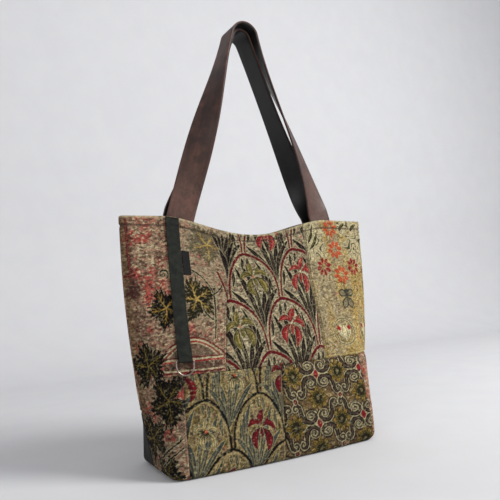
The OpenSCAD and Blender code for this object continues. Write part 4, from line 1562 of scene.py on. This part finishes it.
# %% Tape
tape_rows = np.linspace(1.0, (RING_HEIGHT + FOLD_TOP) / BAG_HEIGHT, 110)
q_mid = tape_line(tape_rows)
half_q = TAPE_WIDTH / RIM_WIDTH
TAPE_CLEAR = 0.35
crease = 0.9 * (cloud(tape_rows * BAG_HEIGHT, tape_rows * 0, 9.0, 81) - 0.4)
lift = SEAT + TAPE_CLOTH / 2 + crease + TAPE_CLEAR
middle = skin(q_mid, tape_rows, lift)
tape_across = unit(skin(q_mid + half_q, tape_rows, lift) - skin(q_mid - half_q, tape_rows, lift))

bar_round = RING_WIRE / 2 + SEAT + TAPE_CLOTH / 2
turn = np.radians(np.linspace(180, 360, 17))
fold_v = np.concatenate([[8, 4, 1.5], bar_round * np.sin(turn), [2.0, 4.5, 8, 11.5, 14.5]])
fold_w = np.concatenate([[-bar_round] * 3, bar_round * np.cos(turn), [2.1, 1.7, 0.7, -0.1, -0.45]])
fold = ring_at + fold_v[:, None] * ring_v + fold_w[:, None] * ring_w
tape_centre = np.concatenate([middle, fold])
tape_across = np.concatenate([tape_across, np.tile(ring_u, (len(fold), 1))])
tape = lay_strip("webbing_tape_strip", tape_centre, tape_across,
                 strap_section(-TAPE_CLOTH / 2, TAPE_CLOTH / 2, TAPE_WIDTH, 0.5))

# %% Webbing material
webbing, tree, shader = new_material("webbing", gloss=0.12)
thread = attribute(tree, "thread")
height = weave_height(tree, thread, 2.2, 1.4)
wear = spread(tree, noise(tree, thread, 0.12, 4.0), 0.35, 0.7, 0.25, 1.0)
# Painted shade: the hollows of the weave are dyed darker
shade = math_node(tree, "MULTIPLY", spread(tree, height, *WEAVE, 0.0, 1.0), wear)
paint(tree, shader, shade, ink(18, 20, 17), ink(58, 60, 53))
roughen(tree, shader, noise(tree, thread, 0.5), 0.3, 0.7, 0.55, 0.75)
bump(tree, height, 0.6, 0.0003, shader)
fit(tape, webbing, "webbing", "webbing_tape")

# %% Tag
TAG_T = (0.766, 0.866)
TAG_WIDTH = 0.05
TAG_LIFT = 0.75
TAG_HALF = 0.35
tag_t = np.linspace(TAG_T[1], TAG_T[0], 40)
tag_q = tape_line(tag_t) + half_q + 0.002 + TAG_WIDTH / 2
tag_centre = skin(tag_q, tag_t, TAG_LIFT + 0.25 * np.sin(np.linspace(0, np.pi, 40)))
tag_across = unit(skin(tag_q + 0.01, tag_t, TAG_LIFT) - skin(tag_q - 0.01, tag_t, TAG_LIFT))
tag = lay_strip("side_tag_ribbon", tag_centre, tag_across,
                strap_section(-TAG_HALF, TAG_HALF, TAG_WIDTH * HALF_GIRTH, 0.3))

# %% Tag material
ribbon, tree, shader = new_material("tag_ribbon", gloss=0.1)
thread = attribute(tree, "thread")
height = weave_height(tree, thread, 0.8, 0.6)
# Painted shade: the ribbon is dyed darker in the hollows of its weave
paint(tree, shader, spread(tree, height, *WEAVE, 0, 1), ink(9, 9, 9), ink(24, 23, 23))
roughen(tree, shader, noise(tree, thread, 0.8), 0.3, 0.7, 0.4, 0.6)
bump(tree, height, 0.4, 0.0002, shader)
fit(tag, ribbon, "tag", "side_tag")

# %% Ring
WIRE_SIDES = 16
ring_r = RING_INNER / 2 + RING_WIRE / 2
corner = 2.2
quarter = np.radians(np.linspace(0, 90, 8))
half_path = [(x, 0.0) for x in np.linspace(0, ring_r - corner, 10)]
half_path += [(ring_r - corner + corner * np.sin(a), -corner + corner * np.cos(a)) for a in quarter[1:]]
half_path += [(ring_r, -y) for y in np.linspace(corner, RING_DROP, 5)[1:]]
bow = np.radians(np.linspace(0, 90, 24))
half_path += [(ring_r * np.cos(a), -RING_DROP - ring_r * np.sin(a)) for a in bow[1:]]
half_path = np.array(half_path)
ring_path = np.concatenate([half_path, half_path[-2:0:-1] * np.array([-1, 1])])
ahead = unit(np.roll(ring_path, -1, axis=0) - np.roll(ring_path, 1, axis=0))
a = np.radians(np.arange(WIRE_SIDES) * 360 / WIRE_SIDES)
flat_out = pack(ahead[:, 1], -ahead[:, 0])
tube = ring_path[:, None] + RING_WIRE / 2 * np.cos(a)[None, :, None] * flat_out[:, None]
depth = np.tile(RING_WIRE / 2 * np.sin(a), (len(ring_path), 1))
ring_points = ring_at + tube[..., 0:1] * ring_u + tube[..., 1:2] * ring_v + depth[..., None] * ring_w
index = np.arange(len(ring_path) * WIRE_SIDES).reshape(len(ring_path), WIRE_SIDES)
index = np.concatenate([index, index[:1]])
index = np.concatenate([index, index[:, :1]], axis=1)
ring_faces = pack(index[:-1, :-1], index[1:, :-1], index[1:, 1:], index[:-1, 1:])
ring = make_piece("wire_ring", ring_points, ring_faces.reshape(-1, 4))

# %% Ring metal
steel, tree, shader = new_material("ring_metal")
tarnish = noise(tree, object_place(tree), 420.0, 5.0)
paint(tree, shader, spread(tree, tarnish, 0.38, 0.68, 0, 1), ink(150, 142, 134), ink(104, 76, 60))
roughen(tree, shader, tarnish, 0.3, 0.7, 0.18, 0.42)
shader.inputs["Metallic"].default_value = 1.0
bump(tree, tarnish, 0.15, 0.0001, shader)
fit(ring, steel, "ring_metal", "d_ring", body="ring")

# %% [markdown]
# ## Stitches
# Stitches tell the eye how big a bag is. Each one here is a short thread that dips at both ends, laid along a
# line on the finished cloth. A line is a list of places on the wall, and the stitches are spaced by the
# length of thread between them.

# %% Thread material
def thread_material(name, colour):
    material, tree, shader = new_material(name)
    fuzz = noise(tree, object_place(tree), 1500.0, 3.0)
    light = np.minimum(1.0, colour * 1.5 + 0.01)
    paint(tree, shader, spread(tree, fuzz, 0.35, 0.65, 0, 1), colour * 0.7, light)
    roughen(tree, shader, fuzz, 0.3, 0.7, 0.6, 0.8)
    bump(tree, fuzz, 0.3, 0.0001, shader)
    return material


# %% Laying stitches
def stitch_shape(length, thick):
    """A short thread with tapered, sunken ends: rings of six points."""
    w = np.linspace(-1, 1, 7)
    a = np.radians(np.arange(6) * 60)
    r = thick / 2 * np.sqrt(np.clip(1 - (w * 0.97) ** 4, 0.02, 1))
    sink = -thick * 0.55 * w**4
    rings = [pack(np.full(6, x * length / 2), rad * np.cos(a), rad * np.sin(a) + dip)
             for x, rad, dip in zip(w, r, sink)]
    return np.array(rings)


def places_along(path, run, stops):
    return np.stack([np.interp(stops, run, path[:, k]) for k in range(3)], axis=-1)


def lay_stitches(name, lines, material, slot, pitch=3.8, length=2.9, thick=0.75, lift=0.25, side=-1):
    """Lines are arrays q and t, with a lift of their own if they have one. One thread is one piece."""
    shape = stitch_shape(length, thick)
    rows, cols = shape.shape[:2]
    points, faces = [], []
    for q, t, *own in lines:
        height = own[0] if own else lift
        path = skin(q, t, height, side)
        run = run_along(path)
        stops = np.arange(pitch / 2, run[-1], pitch)
        along = unit(places_along(path, run, stops + 0.5) - places_along(path, run, stops - 0.5))
        sq, st = np.interp(stops, run, q), np.interp(stops, run, t)
        out = skin(sq, st, height + 1, side) - skin(sq, st, height, side)
        out = unit(out - (out * along).sum(1)[:, None] * along)
        for c, x, y, z in zip(places_along(path, run, stops), along, np.cross(along, out), out):
            faces.append(grid_faces(rows, cols, start=len(points) * rows * cols, close=True))
            points.append((c + shape[..., 0:1] * x + shape[..., 1:2] * y + shape[..., 2:3] * z).reshape(-1, 3))
    obj = make_piece(name, np.concatenate(points), np.concatenate(faces))
    print(len(points), "stitches")
    return fit(obj, material, slot)


def line(q0, t0, q1, t1, count=160):
    return np.linspace(q0, q1, count), np.linspace(t0, t1, count)


# %% Seam and hem stitches
STITCH_IN = 3.2
BESIDE, UNDER = STITCH_IN / HALF_GIRTH, STITCH_IN / BAG_HEIGHT
SIDE_Q = 0.985
HEM_T = 1 - HEM_DEPTH / BAG_HEIGHT
dark_thread = thread_material("dark_thread", ink(58, 48, 40))
straw_thread = thread_material("straw_thread", ink(196, 176, 112))
wine_thread = thread_material("wine_thread", ink(104, 36, 30))

seams = [line(a + BESIDE * s, SEAM_T + 0.01, b + BESIDE * s, HEM_T) for (a, b), s in zip(UPPER_SEAMS, (-1, 1))]
seams += [line(a - BESIDE, 0.03, b - BESIDE, SEAM_T - 0.01) for a, b in LOWER_SEAMS]
seams += [line(-SIDE_Q, SEAM_T - UNDER, 0.42, SEAM_T - UNDER, 400)]
lay_stitches("seam_stitches", seams, dark_thread, "webbing")
gold_line = line(0.43, SEAM_T + UNDER, SIDE_Q, SEAM_T + UNDER, 200)
lay_stitches("gold_seam_stitches", [gold_line], straw_thread, "gold_tapestry")
lay_stitches("hem_stitches", [line(-SIDE_Q, HEM_T, SIDE_Q, HEM_T, 600)], dark_thread, "webbing")
back_lines = [line(-SIDE_Q, t, SIDE_Q, t, 600) for t in (HEM_T, BAND_T + UNDER)]
lay_stitches("back_hem_stitches", back_lines, dark_thread, "webbing", side=1)
tuck = [line(-0.955, 0.992, -0.939, 0.767), line(-0.939, 0.767, -0.995, 0.764, 40)]
lay_stitches("tuck_stitches", tuck, wine_thread, "red_tapestry", pitch=2.6, length=2.4, thick=1.0)

# %% Stitches on the tape
across_tape = np.linspace(-0.92, 0.92, 40) * half_q
top_q = tape_line(HEM_T)
tape_thread = thread_material("tape_thread", ink(40, 43, 38))
fold_t = (RING_HEIGHT + FOLD_TOP) / BAG_HEIGHT
fold_lift = 3.75 + float(keep_in(-front_swell(np.array(TAPE_Q[0]), np.array(fold_t))))
tape_lines = [(top_q + across_tape, np.full(40, HEM_T)),
              (TAPE_Q[0] + across_tape, np.full(40, fold_t), fold_lift)]
lay_stitches("tape_stitches", tape_lines, tape_thread, "webbing", pitch=2.6, length=2.0, thick=0.6,
             lift=SEAT + TAPE_CLOTH + 0.4)

# %% [markdown]
# ## Sizes of the cloth sheets
# The greatest width, greatest length and area of each sheet are worked out from the smooth wall. The seam and
# hem allowances are given but not added. The seams slant and the bag tapers, so the cuts aren't rectangles.
# Their areas come from the smooth wall, before anything was puckered or folded, and a stretched or shrunken
# mesh would not agree with them.

# %% Sizes of the cuts
SEAM_ALLOWANCE = 6.0
HEM_ALLOWANCE = 15.0


def smooth_size(left, right, low, high, d=0.0, side=-1):
    """Greatest width, greatest length and area of the smooth wall between two seams, in mm."""
    w, u = np.meshgrid(np.linspace(0, 1, 80), np.linspace(0, 1, 80), indexing="ij")
    q = mix(mix(left[0], left[1], w), mix(right[0], right[1], w), u)
    points = wall(q, mix(low, high, w), d, side)
    width, length = (np.linalg.norm(np.diff(points, axis=k), axis=-1).sum(k).max() for k in (1, 0))
    one, other = points[1:, 1:] - points[:-1, :-1], points[1:, :-1] - points[:-1, 1:]
    return np.array([width, length, np.linalg.norm(np.cross(one, other), axis=-1).sum() / 2])


WHOLE = ((-1, -1), (1, 1))
TWO_FACES = np.array([2, 1, 2])
HEMMED, SEAMED = SEAM_ALLOWANCE + HEM_ALLOWANCE, 2 * SEAM_ALLOWANCE
for name, left, right, upper, *_ in PATCHES:
    low, high, spare = (SEAM_T, 1.0, HEMMED) if upper else (0.0, SEAM_T, SEAMED)
    smooth_size(left, right, low, high)
smooth_size(*WHOLE, BAND_T, 1.0, 0.0, 1)
TWO_FACES * smooth_size(*WHOLE, FACING_T, 1.0, 3.5)
TWO_FACES * smooth_size(*WHOLE, 0.0, FACING_T, 3.0)

# %% [markdown]
# ## Floor, light and camera
# The bag stands on a plain pale sweep, a floor that curves up into a wall, so there is no horizon behind it.
# A large soft lamp at the right and front gives the shading of a bright room. A weaker lamp at the left and
# the world fill the shadows, and Light Path lets the world look paler than it lights.
# The camera stands where the picture was taken: a little left of the front and almost level.

# %% Sweep
SWEEP_BACK = 900.0
SWEEP_ROUND = 500.0
FLOOR_FRONT, WALL_TOP, STAGE_HALF = -2600.0, 3200.0, 3500.0
STAGE_LOW = 0.6
ramp = np.radians(np.linspace(0, 90, 24))
profile = [(FLOOR_FRONT, 0.0)]
profile += [(SWEEP_BACK + SWEEP_ROUND * np.sin(a), SWEEP_ROUND * (1 - np.cos(a))) for a in ramp]
profile += [(SWEEP_BACK + SWEEP_ROUND, WALL_TOP)]
sides = np.linspace(-STAGE_HALF, STAGE_HALF, 12)
sweep_points = np.array([[(x, y, z - STAGE_LOW) for x in sides] for y, z in profile])
backdrop = make_piece("pale_sweep", sweep_points, grid_faces(*sweep_points.shape[:2]))
paper, tree, shader = new_material("pale_paper")
paint(tree, shader, noise(tree, object_place(tree), 14.0, 4.0), ink(205, 205, 207), ink(213, 213, 214))
shader.inputs["Roughness"].default_value = 0.9
backdrop.data.materials.append(paper)

# %% Lamps
def soft_lamp(name, at, aim, size, power):
    lamp = bpy.data.lights.new(name, "AREA")
    lamp.shape = "DISK"
    lamp.size = size
    lamp.energy = power
    obj = bpy.data.objects.new(name, lamp)
    obj.location = at
    obj.rotation_euler = (Vector(aim) - Vector(at)).to_track_quat("-Z", "Y").to_euler()
    bpy.context.scene.collection.objects.link(obj)


BAG_MIDDLE = (0.0, 0.0, 0.25)
soft_lamp("key", (1.75, -1.5, 1.6), BAG_MIDDLE, size=1.2, power=74)
soft_lamp("fill", (-1.9, -1.4, 0.9), BAG_MIDDLE, size=1.6, power=12)

# %% World
world = bpy.data.worlds.new("room")
world.use_nodes = True
tree = world.node_tree
light = tree.nodes["Background"]
light.inputs["Color"].default_value = (0.86, 0.87, 0.9, 1)
light.inputs["Strength"].default_value = 0.55
seen = add_node(tree, "ShaderNodeBackground", Color=(0.64, 0.64, 0.65, 1))
path = add_node(tree, "ShaderNodeLightPath").outputs
looks = math_node(tree, "MAXIMUM", path["Is Camera Ray"], path["Is Glossy Ray"])
looks = math_node(tree, "MAXIMUM", looks, path["Is Transmission Ray"])
room = add_node(tree, "ShaderNodeMixShader")
for socket, link in zip(room.inputs, (looks, light.outputs[0], seen.outputs[0])):
    tree.links.new(link, socket)
tree.links.new(room.outputs[0], tree.nodes["World Output"].inputs["Surface"])
bpy.context.scene.world = world
bpy.context.scene.view_settings.view_transform = "Standard"

# %% Camera
CAMERA_AT = np.array([-399.8, -687.7, 212.3]) * MM
AZIMUTH, TILT, ROLL = np.radians([-29.82, -4.56, -2.87])
FOCAL_PIXELS = 563.1
IMAGE_PIXELS = 500
back = np.array([np.sin(AZIMUTH) * np.cos(TILT), -np.cos(AZIMUTH) * np.cos(TILT), np.sin(TILT)])
right = np.array([np.cos(AZIMUTH), np.sin(AZIMUTH), 0])
up = np.cross(back, right)
right_rolled = np.cos(ROLL) * right + np.sin(ROLL) * up
up_rolled = -np.sin(ROLL) * right + np.cos(ROLL) * up

# %% Lens
lens = bpy.data.cameras.new("photo_camera")
lens.sensor_width = 36.0
lens.lens = FOCAL_PIXELS / IMAGE_PIXELS * lens.sensor_width
lens.clip_start = 0.01
camera = bpy.data.objects.new("photo_camera", lens)
matrix = Matrix.Identity(4)
for k, column in enumerate((right_rolled, up_rolled, back, CAMERA_AT)):
    for j in range(3):
        matrix[j][k] = column[j]
camera.matrix_world = matrix
bpy.context.scene.collection.objects.link(camera)
bpy.context.scene.camera = camera
print(f"lens {lens.lens:.1f} mm")
